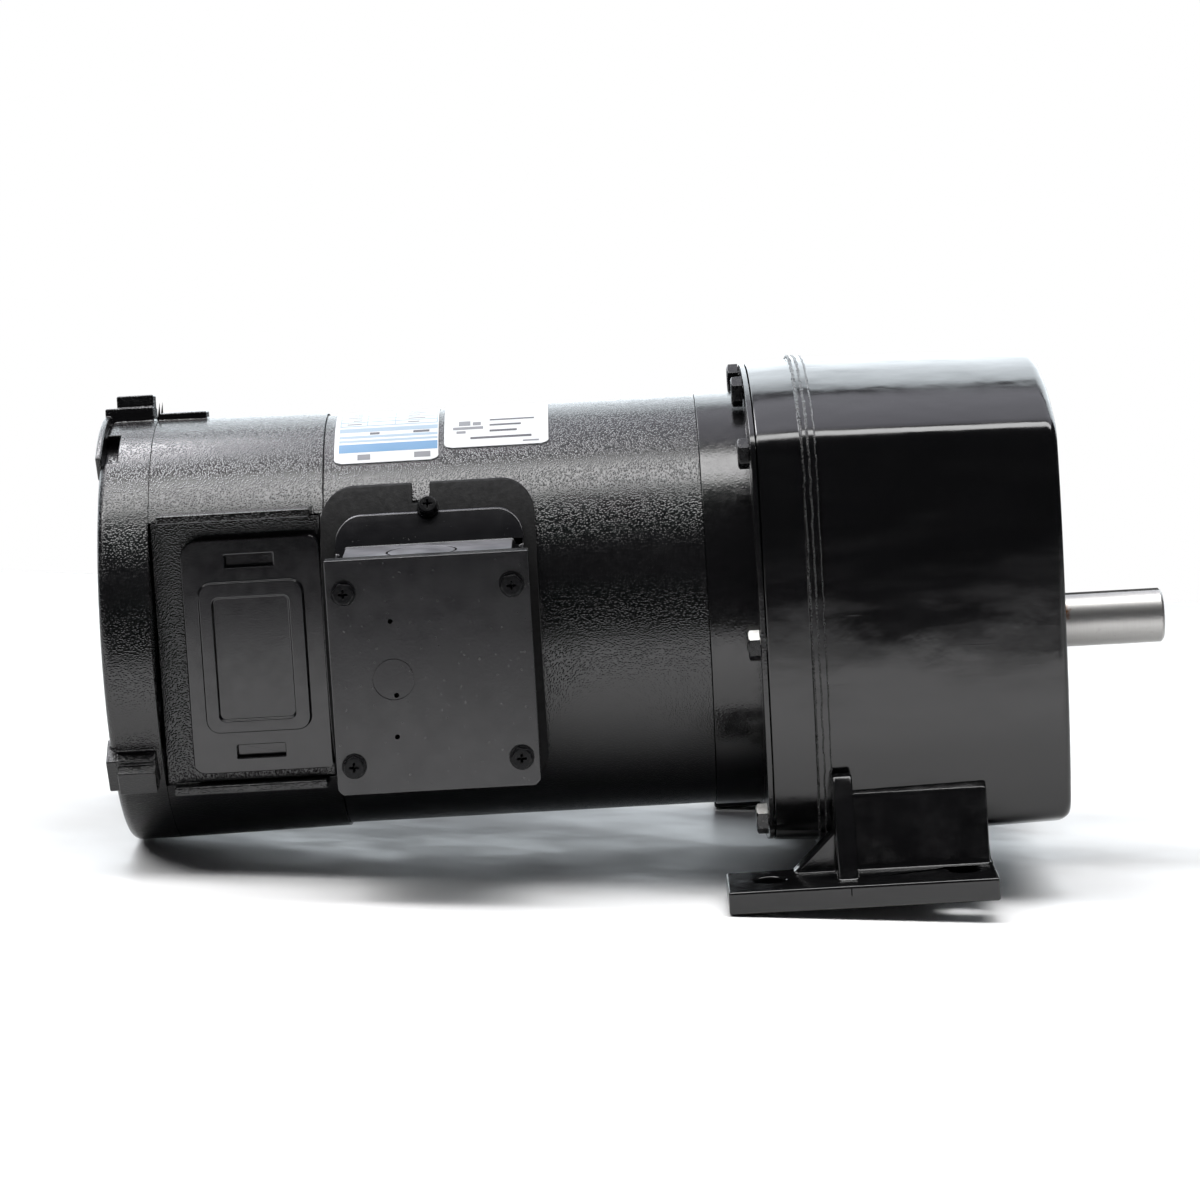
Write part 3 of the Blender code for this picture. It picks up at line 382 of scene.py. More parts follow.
def case_outline(inset, soft=4.6):
    """The gear case's section, moved inwards by inset: bulging sides, an arched top and bottom."""
    half = CASE_HALF_WIDTH - inset
    top = CASE_TOP - inset
    bottom = CASE_BOTTOM + inset

    def side_y(z):
        drop, height, power = CASE_SIDE_BULGE
        return half - drop * (abs(z) / height) ** power

    def top_z(y):
        return top - CASE_TOP_R + math.sqrt(CASE_TOP_R**2 - y * y)

    def bottom_z(y):
        return bottom + CASE_BOTTOM_R - math.sqrt(CASE_BOTTOM_R**2 - y * y)

    top_corner = (half, 0.0)
    bottom_corner = (half, 0.0)
    for _ in range(30):
        top_corner = (side_y(top_corner[1]), top_z(top_corner[0]))
        bottom_corner = (side_y(bottom_corner[1]), bottom_z(bottom_corner[0]))

    def between(low, high, count):
        return [low + (high - low) * i / count for i in range(1, count)]

    right = [(side_y(z), z) for z in between(bottom_corner[1] + soft, top_corner[1] - soft, 26)]
    upper = [(y, top_z(y)) for y in between(top_corner[0] - soft, -top_corner[0] + soft, 40)]
    lower = [(y, bottom_z(y)) for y in between(-bottom_corner[0] + soft, bottom_corner[0] - soft, 30)]

    def corner_points(corner, z_edge, y_edge, edge):
        start, tip, end = Vector((side_y(z_edge), z_edge)), Vector(corner), Vector((y_edge, edge(y_edge)))
        parts = [k / 8 for k in range(9)]
        return [tuple(start.lerp(tip, part).lerp(tip.lerp(end, part), part)) for part in parts]

    top_right = corner_points(top_corner, top_corner[1] - soft, top_corner[0] - soft, top_z)
    low_right = corner_points(bottom_corner, bottom_corner[1] + soft, bottom_corner[0] - soft, bottom_z)[::-1]
    top_left = [(-y, z) for y, z in top_right[::-1]]
    low_left = [(-y, z) for y, z in low_right[::-1]]
    left = [(-y, z) for y, z in right[::-1]]
    points = low_right + right + top_right + upper + top_left + left + low_left + lower
    return [(y, z + MOTOR_Z) for y, z in points]


def case_loft(name, stations):
    """The case's section lofted through (x, inset) stations."""
    return loft(name, [[(x, y, z) for y, z in case_outline(inset)] for x, inset in stations])


# ---- Materials ----------------------------------------------------------------------------------------


class Graph:
    """A short way to wire a material's nodes."""

    def __init__(self, name):
        self.material = bpy.data.materials.new(name)
        self.material.use_nodes = True
        self.tree = self.material.node_tree
        self.shader = self.tree.nodes["Principled BSDF"]
        self.place = self.node("ShaderNodeTexCoord").outputs["Object"]

    def node(self, kind, **settings):
        made = self.tree.nodes.new(kind)
        for key, value in settings.items():
            setattr(made, key, value)
        return made

    def link(self, source, target):
        self.tree.links.new(source, target)

    def put(self, **values):
        """Sets plain values on the shader's own sockets; an underscore stands for a space."""
        for key, value in values.items():
            self.shader.inputs[key.replace("_", " ")].default_value = value

    def stretched(self, scale):
        mapping = self.node("ShaderNodeMapping")
        mapping.inputs["Scale"].default_value = scale
        self.link(self.place, mapping.inputs["Vector"])
        return mapping.outputs["Vector"]

    def noise(self, size_mm, detail=2.0, rough=0.5, stretch=(1.0, 1.0, 1.0)):
        """Noise whose features are about size_mm across."""
        noise = self.node("ShaderNodeTexNoise")
        noise.inputs["Scale"].default_value = 1.0 / (size_mm * MM)
        noise.inputs["Detail"].default_value = detail
        noise.inputs["Roughness"].default_value = rough
        self.link(self.stretched(stretch), noise.inputs["Vector"])
        return noise.outputs["Fac"]

    def cells(self, size_mm):
        cells = self.node("ShaderNodeTexVoronoi")
        cells.inputs["Scale"].default_value = 1.0 / (size_mm * MM)
        self.link(self.place, cells.inputs["Vector"])
        return cells.outputs["Distance"]

    def ramp(self, source, *stops):
        """A colour ramp through (position, colour or grey) stops."""
        ramp = self.node("ShaderNodeValToRGB")
        elements = ramp.color_ramp.elements
        while len(elements) < len(stops):
            elements.new(0.5)
        for element, (position, colour) in zip(elements, stops):
            element.position = position
            element.color = (*colour, 1.0) if isinstance(colour, tuple) else (colour, colour, colour, 1.0)
        self.link(source, ramp.inputs["Fac"])
        return ramp.outputs["Color"]

    def mix(self, factor, first, second):
        mix = self.node("ShaderNodeMix", data_type="RGBA")
        for socket, value in ((mix.inputs[0], factor), (mix.inputs[6], first), (mix.inputs[7], second)):
            if hasattr(value, "is_output"):
                self.link(value, socket)
            else:
                socket.default_value = value if isinstance(value, float) else (*value, 1.0)
        return mix.outputs[2]

    def math(self, operation, first, second=0.0):
        node = self.node("ShaderNodeMath", operation=operation)
        for socket, value in zip(node.inputs, (first, second)):
            if hasattr(value, "is_output"):
                self.link(value, socket)
            else:
                socket.default_value = value
        return node.outputs[0]

    def bumps(self, *layers):
        """Chains bump nodes over (height, depth in mm) layers."""
        normal = None
        for height, depth_mm in layers:
            bump = self.node("ShaderNodeBump")
            bump.inputs["Strength"].default_value = 1.0
            bump.inputs["Distance"].default_value = depth_mm * MM
            self.link(height, bump.inputs["Height"])
            if normal:
                self.link(normal, bump.inputs["Normal"])
            normal = bump.outputs["Normal"]
        self.link(normal, self.shader.inputs["Normal"])

    def colour(self, source):
        self.link(source, self.shader.inputs["Base Color"])

    def roughness(self, source):
        self.link(source, self.shader.inputs["Roughness"])


def textured_paint(name, colour, grain_mm, depth_mm, rough):
    """Black enamel with a fine sandy grain: each raised grain catches the light on its own."""
    g = Graph(name)
    g.colour(g.ramp(g.noise(9.0, 3.0), (0.3, colour), (0.75, shades(colour, 1.6))))
    g.roughness(g.ramp(g.noise(2.5, 3.0), (0.3, rough - 0.04), (0.7, rough + 0.05)))
    grains = g.ramp(g.cells(grain_mm), (0.05, 1.0), (0.55, 0.0))
    g.bumps((g.noise(14.0, 1.0), 0.05), (grains, depth_mm))
    return g.material


def gloss_paint():
    """Smooth glossy enamel over a casting: long waves, a little peel, and dull handling marks."""
    g = Graph("black_enamel")
    g.colour(g.ramp(g.noise(22.0, 4.0), (0.35, (0.0014, 0.0014, 0.0016)), (0.8, (0.0026, 0.0026, 0.0029))))
    smears = g.ramp(g.noise(14.0, 5.0, 0.65, (0.35, 1.0, 1.6)), (0.42, 0.12), (0.70, 0.27))
    g.roughness(smears)
    scratches = g.ramp(g.noise(1.6, 2.0, 0.5, (0.05, 1.0, 1.0)), (0.70, 0.0), (0.78, 1.0))
    g.bumps((g.noise(26.0, 2.0), 0.40), (g.noise(3.2, 2.0), 0.022), (scratches, 0.008))
    return g.material


def plain_look(name, colour_noise, colours, rough_noise, roughs, *bumps, **sockets):
    """A material whose colour, roughness and bumps each follow a noise.

    A noise is what Graph.noise takes, colours and roughs are ramp stops, and bumps are (noise, depth in mm).
    """
    g = Graph(name)
    g.colour(g.ramp(g.noise(*colour_noise), *colours))
    g.roughness(g.ramp(g.noise(*rough_noise), *roughs))
    g.bumps(*[(g.noise(*noise), depth) for noise, depth in bumps])
    g.put(**sockets)
    return g.material


def shades(colour, factor):
    """A colour made darker or lighter by a factor."""
    return tuple(factor * c for c in colour)


def sheet_paint():
    """Satin paint on the conduit box's folded sheet, with a few specks of dust."""
    g = Graph("sheet_satin")
    base = g.ramp(g.noise(16.0, 3.0), (0.3, (0.0042, 0.0042, 0.0050)), (0.75, (0.0070, 0.0070, 0.0080)))
    specks = g.ramp(g.noise(0.9, 0.0), (0.83, 0.0), (0.87, 1.0))
    g.colour(g.mix(specks, base, (0.05, 0.05, 0.048)))
    g.roughness(g.ramp(g.noise(7.0, 3.0), (0.3, 0.19), (0.7, 0.26)))
    g.bumps((g.noise(30.0, 1.0), 0.12), (g.noise(0.9, 1.0), 0.008))
    return g.material


def rubber(name, colour):
    """Cork-filled rubber: matt, mottled and slightly open at the surface."""
    colours = ((0.3, colour), (0.75, shades(colour, 2.1)))
    roughs = ((0.3, 0.55), (0.7, 0.72))
    bumps = ((1.0, 3.0, 0.6), 0.10)
    return plain_look(name, (1.6, 4.0, 0.7), colours, (2.0,), roughs, bumps, Specular_IOR_Level=0.12)


def steel(name, colour, rough, rust=False):
    """Steel turned and ground round the X axis, so that its fine lines run round it."""
    g = Graph(name)
    lines = g.noise(0.35, 2.0, 0.5, (1.0, 0.04, 0.04))
    base = g.ramp(lines, (0.3, shades(colour, 0.93)), (0.7, colour))
    stains = g.ramp(g.noise(3.0, 4.0, 0.6), (0.62, 0.0), (0.80, 1.0))
    base = g.mix(g.math("MULTIPLY", stains, 0.35), base, (0.16, 0.15, 0.14))
    if rust:
        spot = g.node("ShaderNodeVectorMath", operation="DISTANCE")
        g.link(g.place, spot.inputs[0])
        angle = math.radians(24.0)
        spot.inputs[1].default_value = (
            (CASE_FRONT_X + 5.5) * MM,
            -OUTPUT_R * math.cos(angle) * MM,
            (OUTPUT_Z + OUTPUT_R * math.sin(angle)) * MM,
        )
        away_mm = g.math("MULTIPLY", spot.outputs["Value"], 1.0 / MM)
        ragged = g.math("ADD", away_mm, g.math("MULTIPLY", g.noise(1.3, 3.0), 3.2))
        patch = g.ramp(g.math("DIVIDE", ragged, 6.0), (0.55, 1.0), (0.80, 0.0))
        base = g.mix(patch, base, (0.20, 0.085, 0.030))
    g.colour(base)
    g.roughness(g.ramp(lines, (0.3, rough - 0.03), (0.7, rough + 0.05)))
    g.bumps((lines, 0.0012))
    g.put(Metallic=1.0)
    return g.material


def painted_bolt(name, wear, shine):
    """A bolt painted over with the case; the paint is thin in random patches, where a lighter grey shows."""
    g = Graph(name)
    thin = g.ramp(g.noise(1.5, 3.0, 0.6), (0.62, 0.0), (0.74, 1.0))
    g.colour(g.mix(g.math("MULTIPLY", thin, wear), (0.004, 0.004, 0.0045), (0.23, 0.22, 0.20)))
    g.roughness(g.ramp(g.noise(2.2, 3.0), (0.3, 0.20), (0.7, 0.34)))
    g.bumps((g.noise(1.6, 2.0), 0.03))
    g.put(Specular_IOR_Level=shine)
    return g.material


def metal(name, colour, rough, grain_mm, depth_mm):
    colours = ((0.3, shades(colour, 0.75)), (0.7, colour))
    roughs = ((0.3, rough - 0.06), (0.7, rough + 0.10))
    bumps = ((grain_mm, 2.0), depth_mm)
    return plain_look(name, (grain_mm * 3, 4.0), colours, (grain_mm * 2, 3.0), roughs, bumps, Metallic=1.0)


def dull(name, colour, rough, grain_mm, depth_mm):
    colours = ((0.3, shades(colour, 0.7)), (0.7, colour))
    roughs = ((0.3, rough - 0.06), (0.7, rough + 0.06))
    bumps = ((grain_mm, 2.0), depth_mm)
    return plain_look(name, (grain_mm * 4, 4.0), colours, (grain_mm * 2, 3.0), roughs, bumps)


def laminations():
    """Thin steel sheets stacked along the shaft."""
    g = Graph("stacked_sheets")
    wave = g.node("ShaderNodeTexWave", bands_direction="X", wave_profile="SAW")
    wave.inputs["Scale"].default_value = 1.0 / (0.5 * MM) / 20.0
    g.link(g.place, wave.inputs["Vector"])
    g.colour(g.ramp(wave.outputs["Fac"], (0.1, 0.12), (0.4, 0.33)))
    g.roughness(g.ramp(g.noise(2.0), (0.3, 0.38), (0.7, 0.52)))
    g.bumps((wave.outputs["Fac"], 0.05))
    g.put(Metallic=1.0)
    return g.material


def windings():
    """Enamelled copper wire, wound round the axis in layers."""
    g = Graph("enamelled_wire")
    strands = g.noise(0.9, 1.0, 0.5, (0.5, 1.0, 1.0))
    g.colour(g.ramp(strands, (0.35, (0.24, 0.06, 0.02)), (0.62, (0.62, 0.22, 0.08))))
    g.roughness(g.ramp(g.noise(2.0), (0.3, 0.22), (0.7, 0.35)))
    g.bumps((strands, 0.25))
    g.put(Metallic=0.7)
    return g.material


def film(name, colour, rough=0.32):
    """Printed label film, faintly uneven where it was smoothed down."""
    colours = ((0.3, shades(colour, 0.95)), (0.7, colour))
    roughs = ((0.3, rough - 0.04), (0.7, rough + 0.06))
    return plain_look(name, (20.0, 2.0), colours, (6.0,), roughs, ((12.0, 1.0), 0.03))


LOOKS = {
    "motor_paint": textured_paint("motor_enamel", (0.0022, 0.0022, 0.0024), 0.66, 0.095, 0.22),
    "shield_paint": textured_paint("shield_enamel", (0.0020, 0.0020, 0.0022), 1.0, 0.020, 0.20),
    "case_paint": gloss_paint(),
    # thinner enamel over a grainier casting
    "foot_paint": plain_look(
        "foot_enamel",
        (12.0, 4.0),
        ((0.35, (0.0022, 0.0022, 0.0024)), (0.8, (0.0042, 0.0042, 0.0045))),
        (6.0, 4.0, 0.6),
        ((0.4, 0.14), (0.7, 0.26)),
        ((9.0, 2.0), 0.10),
        ((0.9, 1.0), 0.022),
    ),
    "sheet_paint": sheet_paint(),
    # painted sheen: a lighter, metallic copy of the sheet paint, put only on the flap's upward faces; it
    # stands for thin paint over steel and for the bright reflection those faces catch from above
    "flap_sheen_look": plain_look(
        "flap_thin_paint_and_sheen",
        (14.0, 3.0),
        ((0.3, (0.13, 0.13, 0.14)), (0.7, (0.26, 0.26, 0.28))),
        (5.0, 3.0),
        ((0.3, 0.36), (0.7, 0.46)),
        ((20.0, 1.0), 0.10),
        Metallic=1.0,
    ),
    # sealant that was painted over: a rough skin whose lumps each catch the light
    "sealant": plain_look(
        "squeezed_sealant",
        (2.5, 3.0),
        ((0.40, (0.0015, 0.0015, 0.0015)), (0.72, (0.010, 0.010, 0.010))),
        (1.2,),
        ((0.3, 0.17), (0.7, 0.30)),
        ((0.9, 3.0, 0.7), 0.55),
    ),
    "plastic": plain_look(
        "moulded_plastic",
        (18.0, 3.0),
        ((0.3, (0.0055, 0.0055, 0.0062)), (0.75, (0.0085, 0.0085, 0.0095))),
        (4.0, 3.0),
        ((0.3, 0.12), (0.7, 0.18)),
        ((0.55, 1.0), 0.006),
    ),
    "gasket": rubber("gasket_rubber", (0.0035, 0.0035, 0.0036)),
    "seal": rubber("seal_rubber", (0.005, 0.005, 0.005)),
    "shaft_steel": steel("ground_shaft", (0.40, 0.395, 0.385), 0.40, rust=True),
    "bright_steel": steel("bright_steel", (0.55, 0.54, 0.52), 0.22),
    "gear_steel": steel("gear_steel", (0.40, 0.39, 0.38), 0.30),
    # zinc plate where the black paint has missed it, put only on upward faces, so it is also a painted
    # highlight for the light those faces catch from above
    "zinc_and_highlight_look": plain_look(
        "bolt_zinc_and_highlight",
        (1.8, 3.0),
        ((0.35, (0.68, 0.67, 0.64)), (0.7, (0.90, 0.89, 0.86))),
        (1.2, 3.0),
        ((0.3, 0.30), (0.7, 0.50)),
        ((0.9, 2.0), 0.02),
        Metallic=0.6,
    ),
    "black_bolt": painted_bolt("bolt_enamel", 0.45, 0.5),
    "black_screw": painted_bolt("screw_oxide", 0.04, 0.12),
    "bronze": metal("sintered_bronze", (0.52, 0.36, 0.16), 0.40, 0.4, 0.02),
    "copper": metal("bare_copper", (0.80, 0.42, 0.24), 0.26, 0.8, 0.01),
    "ferrite": dull("sintered_ferrite", (0.075, 0.075, 0.085), 0.62, 1.2, 0.04),
    "carbon": dull("pressed_carbon", (0.035, 0.035, 0.038), 0.55, 0.5, 0.01),
    "laminations": laminations(),
    "windings": windings(),
    "label": film("label_film", (0.61, 0.62, 0.63)),
    "label_blue": film("label_blue", (0.075, 0.21, 0.38)),
    "label_pale": film("label_pale_blue", (0.27, 0.36, 0.45)),
    "label_grey": film("label_grey", (0.16, 0.165, 0.18)),
    "label_dark": film("label_dark", (0.05, 0.05, 0.06)),
}


# ---- Motor --------------------------------------------------------------------------------------------


def motor_frame():
    x0, x1 = MID_SEAM_X + SEAM, FRONT_SEAM_X - SEAM
    profile = rounded(((x0, BORE_R, 0.0), (x0, FRAME_R, 0.22), (x1, FRAME_R, 0.22), (x1, BORE_R, 0.0)), 4)
    shell = turned("frame_shell", profile, segments=HOUSING_SIDES)
    finish(shell, "motor_paint", "housing", ["motor_frame"])


def brush_end_shield():
    front = MID_SEAM_X - SEAM
    rear = REAR_SEAM_X + SEAM
    profile = rounded(
        (
            (rear, 8.6, 0.0),
            (rear, BRUSH_END_R, 0.15),
            (front, BRUSH_END_FRONT_R, 0.22),
            (front, BORE_R - 0.3, 0.0),
            (front + 6.0, BORE_R - 0.3, 0.0),
            (front + 6.0, 62.0, 0.0),
            (-229.0, 66.5, 3.0),
            (-229.0, 21.0, 0.0),
            (-219.0, 21.0, 0.0),
            (-219.0, 16.3, 0.0),
            (-231.5, 16.3, 0.0),
            (-231.5, 8.6, 0.0),
        ),
        4,
    )
    shield = turned("brush_shield", profile, segments=HOUSING_SIDES)
    pads, pockets = [], []
    for side in (-1, 1):
        pad_y, pad_z = (side * 50.5, side * 64.0), (MOTOR_Z - 48.0, MOTOR_Z + 48.0)
        pads.append(block(f"pad_{side}", (-232.0, -180.0), pad_y, pad_z))
        z_range = (MOTOR_Z - POCKET_HALF_HEIGHT, MOTOR_Z + POCKET_HALF_HEIGHT)
        pockets.append(block(f"pocket_{side}", (-240.0, -177.4), (side * POCKET_Y, side * 80.0), z_range))
        window = (MOTOR_Z - 18.0, MOTOR_Z + 18.0)
        pockets.append(block(f"window_{side}", (-210.0, -181.0), (side * 40.0, side * 60.0), window))
    join(shield, *pads)
    cut(shield, *pockets)
    low, high = BRUSH_END_R - 3.0, BRUSH_END_R + 2.4
    join(shield, radial_bar("shield_rib", (rear, -218.3), 95.0, low, high, 5.0))
    finish(shield, "motor_paint", "housing", ["brush_end_shield"], edge=0.65, angle=50.0)


def rear_end_cover():
    dish_low, dish_high = 24.0, 60.0
    profile = rounded(
        (
            (REAR_X, 0.0, 0.0),
            (REAR_X, dish_low, 1.0),
            (REAR_X + 2.2, dish_low + 1.5, 1.0),
            (REAR_X + 2.2, dish_high - 1.5, 1.0),
            (REAR_X, dish_high, 1.0),
            (REAR_X, BRUSH_END_R, 3.2),
            (REAR_SEAM_X - SEAM, BRUSH_END_R, 0.15),
            (REAR_SEAM_X - SEAM, BRUSH_END_R - 4.0, 0.0),
            (REAR_X + 4.6, BRUSH_END_R - 5.0, 2.0),
            (REAR_X + 4.6, 0.0, 0.0),
        ),
        6,
    )
    cover = turned("rear_cap", profile, segments=HOUSING_SIDES)
    front = REAR_SEAM_X - 1.9
    for degrees, half_width in ((98.0, 7.5), (-30.2, 6.6), (218.0, 6.6)):
        slab = radial_bar("lug_slab", (REAR_X - 1.2, front), degrees, 66.0, 78.1, half_width)
        key = radial_bar("lug_key", (-250.0, front), degrees, 66.0, 82.4, 4.6)
        join(cover, slab, key)
    cut(cover, radial_bar("rim_notch", (REAR_X - 2.0, REAR_X + 6.0), 68.3, 68.0, 80.0, 9.8))
    join(cover, wrapped("notch_skirt", (REAR_X - 1.2, REAR_X + 0.9), (60.4, 96.0), 66.0, 75.6))
    finish(cover, "motor_paint", "housing", ["rear_end_cover"], edge=0.6, angle=50.0)


def bolt_holes(start_x, length):
    """Cutters for the eight case bolts."""
    holes = []
    for side in (-1, 1):
        for y, z in CASE_BOLTS.values():
            start = (start_x, side * y, MOTOR_Z + z)
            holes.append(peg("bolt_hole", start, (1, 0, 0), length, BOLT_R + GAP, 24))
    return holes


def front_end_shield():
    rear = FRONT_SEAM_X + SEAM
    face = FLANGE_X + 0.6
    profile = rounded(
        (
            (rear, BORE_R - 0.3, 0.0),
            (rear, SHIELD_R, 0.22),
            (face, SHIELD_R, 0.0),
            (face, 12.0, 0.0),
            (-35.0, 12.0, 0.0),
            (-35.0, 17.8, 0.0),
            (-48.0, 17.8, 0.0),
            (-48.0, 23.0, 0.0),
            (-41.0, 23.0, 0.0),
            (-41.0, 60.0, 0.0),
            (rear - 5.0, 62.0, 0.0),
            (rear - 5.0, BORE_R - 0.3, 0.0),
        ),
        4,
    )
    shield = turned("motor_shield", profile, segments=HOUSING_SIDES)
    join(shield, case_loft("shield_flange", ((FLANGE_X, 1.2), (CASE_REAR_X - GAP, 1.2))))
    cut(shield, rod("flange_bore", (-34.0, -27.0), 11.5), *bolt_holes(FLANGE_X - 1.0, 6.0))
    finish(shield, "shield_paint", "housing", ["front_end_shield"], edge=0.25, segments=2)


def brush_cover(side, tag):
    """A moulded cover: a plate with two slots and a raised frame round a sunk panel."""
    low, high = mm_box(f"brush_cover_{tag}")
    middle = (low.z + high.z) / 2

    def out(near, far):
        return tuple(sorted((side * near, side * far)))

    corners = (4.0, 1.5, 4.0, 6.0)
    outline = rounded_rectangle((low.x, high.x), (low.z, high.z), corners, 8)
    cover = prism_y(f"brush_plate_{tag}", outline, out(POCKET_Y + GAP, POCKET_Y + 5.2))
    raised = rounded_rectangle((-219.6, -184.2), (middle - 26.0, middle + 25.4), (4.5,) * 4, 8)
    join(cover, prism_y("raised", raised, out(POCKET_Y + 3.0, POCKET_Y + 6.7)))
    panel = rounded_rectangle((-215.0, -189.2), (middle - 21.8, middle + 20.2), (2.0,) * 4, 6)
    cut(cover, prism_y("panel", panel, out(POCKET_Y + 5.3, POCKET_Y + 9.0)))
    for dz in (32.4, -32.8):
        slot = rounded_rectangle((-210.0, -193.6), (middle + dz - 2.2, middle + dz + 2.2), (0.4,) * 4, 3)
        cut(cover, prism_y("slot", slot, out(POCKET_Y + 1.4, POCKET_Y + 8.0)))
    finish(cover, "plastic", "housing", [f"brush_cover_{tag}"], edge=0.45)


def brush_spring(side, tag):
    """A coil spring for the brush, made as one fixed coil of wire."""
    low, high = mm_box(f"brush_spring_{tag}")
    near, far = sorted((abs(low.y), abs(high.y)))
    centre_x, centre_z = (low.x + high.x) / 2, (low.z + high.z) / 2
    wire, turns, steps = 0.5, 6, 20
    mean_r = (high.x - low.x) / 2 - 0.6
    curve = bpy.data.curves.new(f"spring_wire_{tag}", "CURVE")
    curve.dimensions = "3D"
    curve.bevel_depth = wire * MM
    curve.bevel_resolution = 3
    curve.use_fill_caps = True
    spline = curve.splines.new("POLY")
    count = turns * steps + 1
    spline.points.add(count - 1)
    for i, point in enumerate(spline.points):
        a = math.tau * i / steps
        y = near + 0.6 + (far - near - 1.2) * i / (count - 1)
        place = Vector((centre_x + mean_r * math.cos(a), side * y, centre_z + mean_r * math.sin(a)))
        point.co = (*(place * MM), 1.0)
    spring = bpy.data.objects.new(f"spring_coil_{tag}", curve)
    bpy.context.scene.collection.objects.link(spring)
    graph = bpy.context.evaluated_depsgraph_get()
    mesh = bpy.data.meshes.new_from_object(spring.evaluated_get(graph))
    bpy.data.objects.remove(spring, do_unlink=True)
    coil = bpy.data.objects.new(f"spring_coil_{tag}", mesh)
    bpy.context.scene.collection.objects.link(coil)
    mesh.materials.append(LOOKS["bright_steel"])
    mesh.shade_smooth()
    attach(coil, "housing")
    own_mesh(coil)
    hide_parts(f"brush_spring_{tag}")


# ---- Labels -------------------------------------------------------------------------------------------


def wrapped(name, x_range, angles, inner, outer, radius=0.0, steps=24):
    """A round-cornered patch on the motor's side, between two angles from -Y towards +Z."""
    bm = bmesh.new()
    (x0, x1), (a0, a1) = x_range, angles
    arc = math.radians(a1 - a0) * outer
    rows = []
    for k in range(steps + 1):
        s = arc * k / steps
        edge = min(s, arc - s)
        pull = 0.0
        if edge < radius:
            pull = radius - math.sqrt(max(0.0, radius**2 - (radius - edge) ** 2))
        a = math.radians(a0) + s / outer
        row = []
        for r in (inner, outer):
            for x in (x0 + pull, x1 - pull):
                row.append(bm.verts.new((x, -r * math.cos(a), MOTOR_Z + r * math.sin(a))))
        rows.append(row)
    for low, high in zip(rows, rows[1:]):
        for i, j in ((0, 1), (1, 3), (3, 2), (2, 0)):
            bm.faces.new((low[i], low[j], high[j], high[i]))
    for row in (rows[0], rows[-1]):
        bm.faces.new((row[0], row[1], row[3], row[2]))
    return object_from(name, bm)


def label(node, tag, prints):
    """One film label with its printed blocks, each a thin layer of ink on the film."""
    low, high = mm_box(node)
    base = FRAME_R + 0.06
    start = math.degrees(math.asin((low.z - MOTOR_Z) / (FRAME_R + 0.3)))
    film_top = base + 0.25
    backing = wrapped(f"{tag}_film", (low.x, high.x), (start, 98.0), base, film_top, 2.6, 60)
    finish(backing, "label", "housing", [node])
    for number, (look, x0, x1, a0, a1) in enumerate(prints):
        x_range = (low.x + x0, low.x + x1)
        angles = (start + a0, start + a1)
        ink = wrapped(f"{tag}_print_{number}", x_range, angles, film_top - 0.05, film_top + 0.03, 0.0, 8)
        finish(ink, look, "housing", [])


def labels():
    """Plain blocks and rules stand where the labels had their print."""
    rating = [
        ("label_blue", 1.6, 35.4, 4.6, 8.6),
        ("label_pale", 1.6, 35.4, 9.6, 10.8),
        ("label_pale", 1.6, 35.4, 11.8, 13.2),
        ("label_pale", 1.6, 35.4, 15.4, 18.0),
        ("label_grey", 8.0, 12.4, 1.2, 3.6),
        ("label_grey", 27.4, 33.0, 1.2, 3.6),
        ("label_dark", 12.0, 15.4, 13.6, 14.9),
        ("label_dark", 27.0, 32.6, 13.6, 14.9),
    ]
    for line in range(5):
        start = 19.4 + 3.2 * line
        rating.append(("label_pale", 1.6, 35.4, start, start + 0.7))
        rating.append(("label_grey", 4.0 + 2.0 * (line % 2), 9.0, start + 1.4, start + 2.3))
        rating.append(("label_grey", 25.0, 29.0 + 2.0 * (line % 2), start + 1.4, start + 2.3))
    for column in (1.6, 10.8, 20.4, 35.0):
        rating.append(("label_pale", column, column + 0.4, 19.4, 33.0))
    label("rating_label", "rating", rating)
    caution = [
        ("label_grey", 3.0, 13.4, 9.0, 10.6),
        ("label_grey", 5.0, 9.0, 11.4, 14.4),
        ("label_grey", 9.8, 12.6, 11.4, 13.6),
        ("label_grey", 4.2, 7.4, 6.8, 8.2),
    ]
    for line, (start, end) in enumerate(((9.0, 30.0), (15.6, 25.0), (15.6, 26.4), (15.6, 31.0))):
        caution.append(("label_dark", start, end, 3.6 + 3.5 * line, 4.7 + 3.5 * line))
    caution.append(("label_grey", 27.0, 32.5, 1.3, 2.0))
    label("caution_label", "caution", caution)


# ---- Conduit box --------------------------------------------------------------------------------------


def wiring_window(name, y_range):
    """The cutter for the opening that the motor's leads come through."""
    x_range, z_range = (BOX_X - 20.0, BOX_X + 20.0), (MOTOR_Z - 25.0, MOTOR_Z + 20.0)
    return prism_y(name, rounded_rectangle(x_range, z_range, (4.0,) * 4, 4), y_range)


def cover_screw_holes(start_y, length):
    """Cutters for the four screws that hold the conduit cover."""
    holes = []
    for side in (-1, 1):
        for z in COVER_SCREW_Z:
            start = (BOX_X + side * SCREW_DX, start_y, z)
            holes.append(peg("screw_hole", start, (0, 1, 0), length, SCREW_R + GAP, 20))
    return holes


def conduit_gasket():
    low, high = mm_box("conduit_gasket")
    x_range = (low.x - 5.0, high.x + 5.0)
    gasket = tube("box_gasket", x_range, SADDLE_R - 0.35, FRAME_R + 0.1, segments=HOUSING_SIDES)
    outline = rounded_rectangle((low.x - 0.6, high.x - 0.2), (low.z, high.z), (10.0, 10.0, 11.0, 11.0), 10)
    keep_inside(gasket, prism_y("gasket_outline", outline, (-100.0, -30.0)))
    notch_x, notch_z = (BOX_X - 5.4, BOX_X + 0.6), (MOTOR_Z + 46.8, MOTOR_Z + 70.0)
    notch = block("gasket_notch", notch_x, (-100.0, -30.0), notch_z)
    cut(gasket, notch, wiring_window("gasket_window", (-100.0, -30.0)))
    finish(gasket, "gasket", "housing", ["conduit_gasket"], edge=0.35, segments=2)


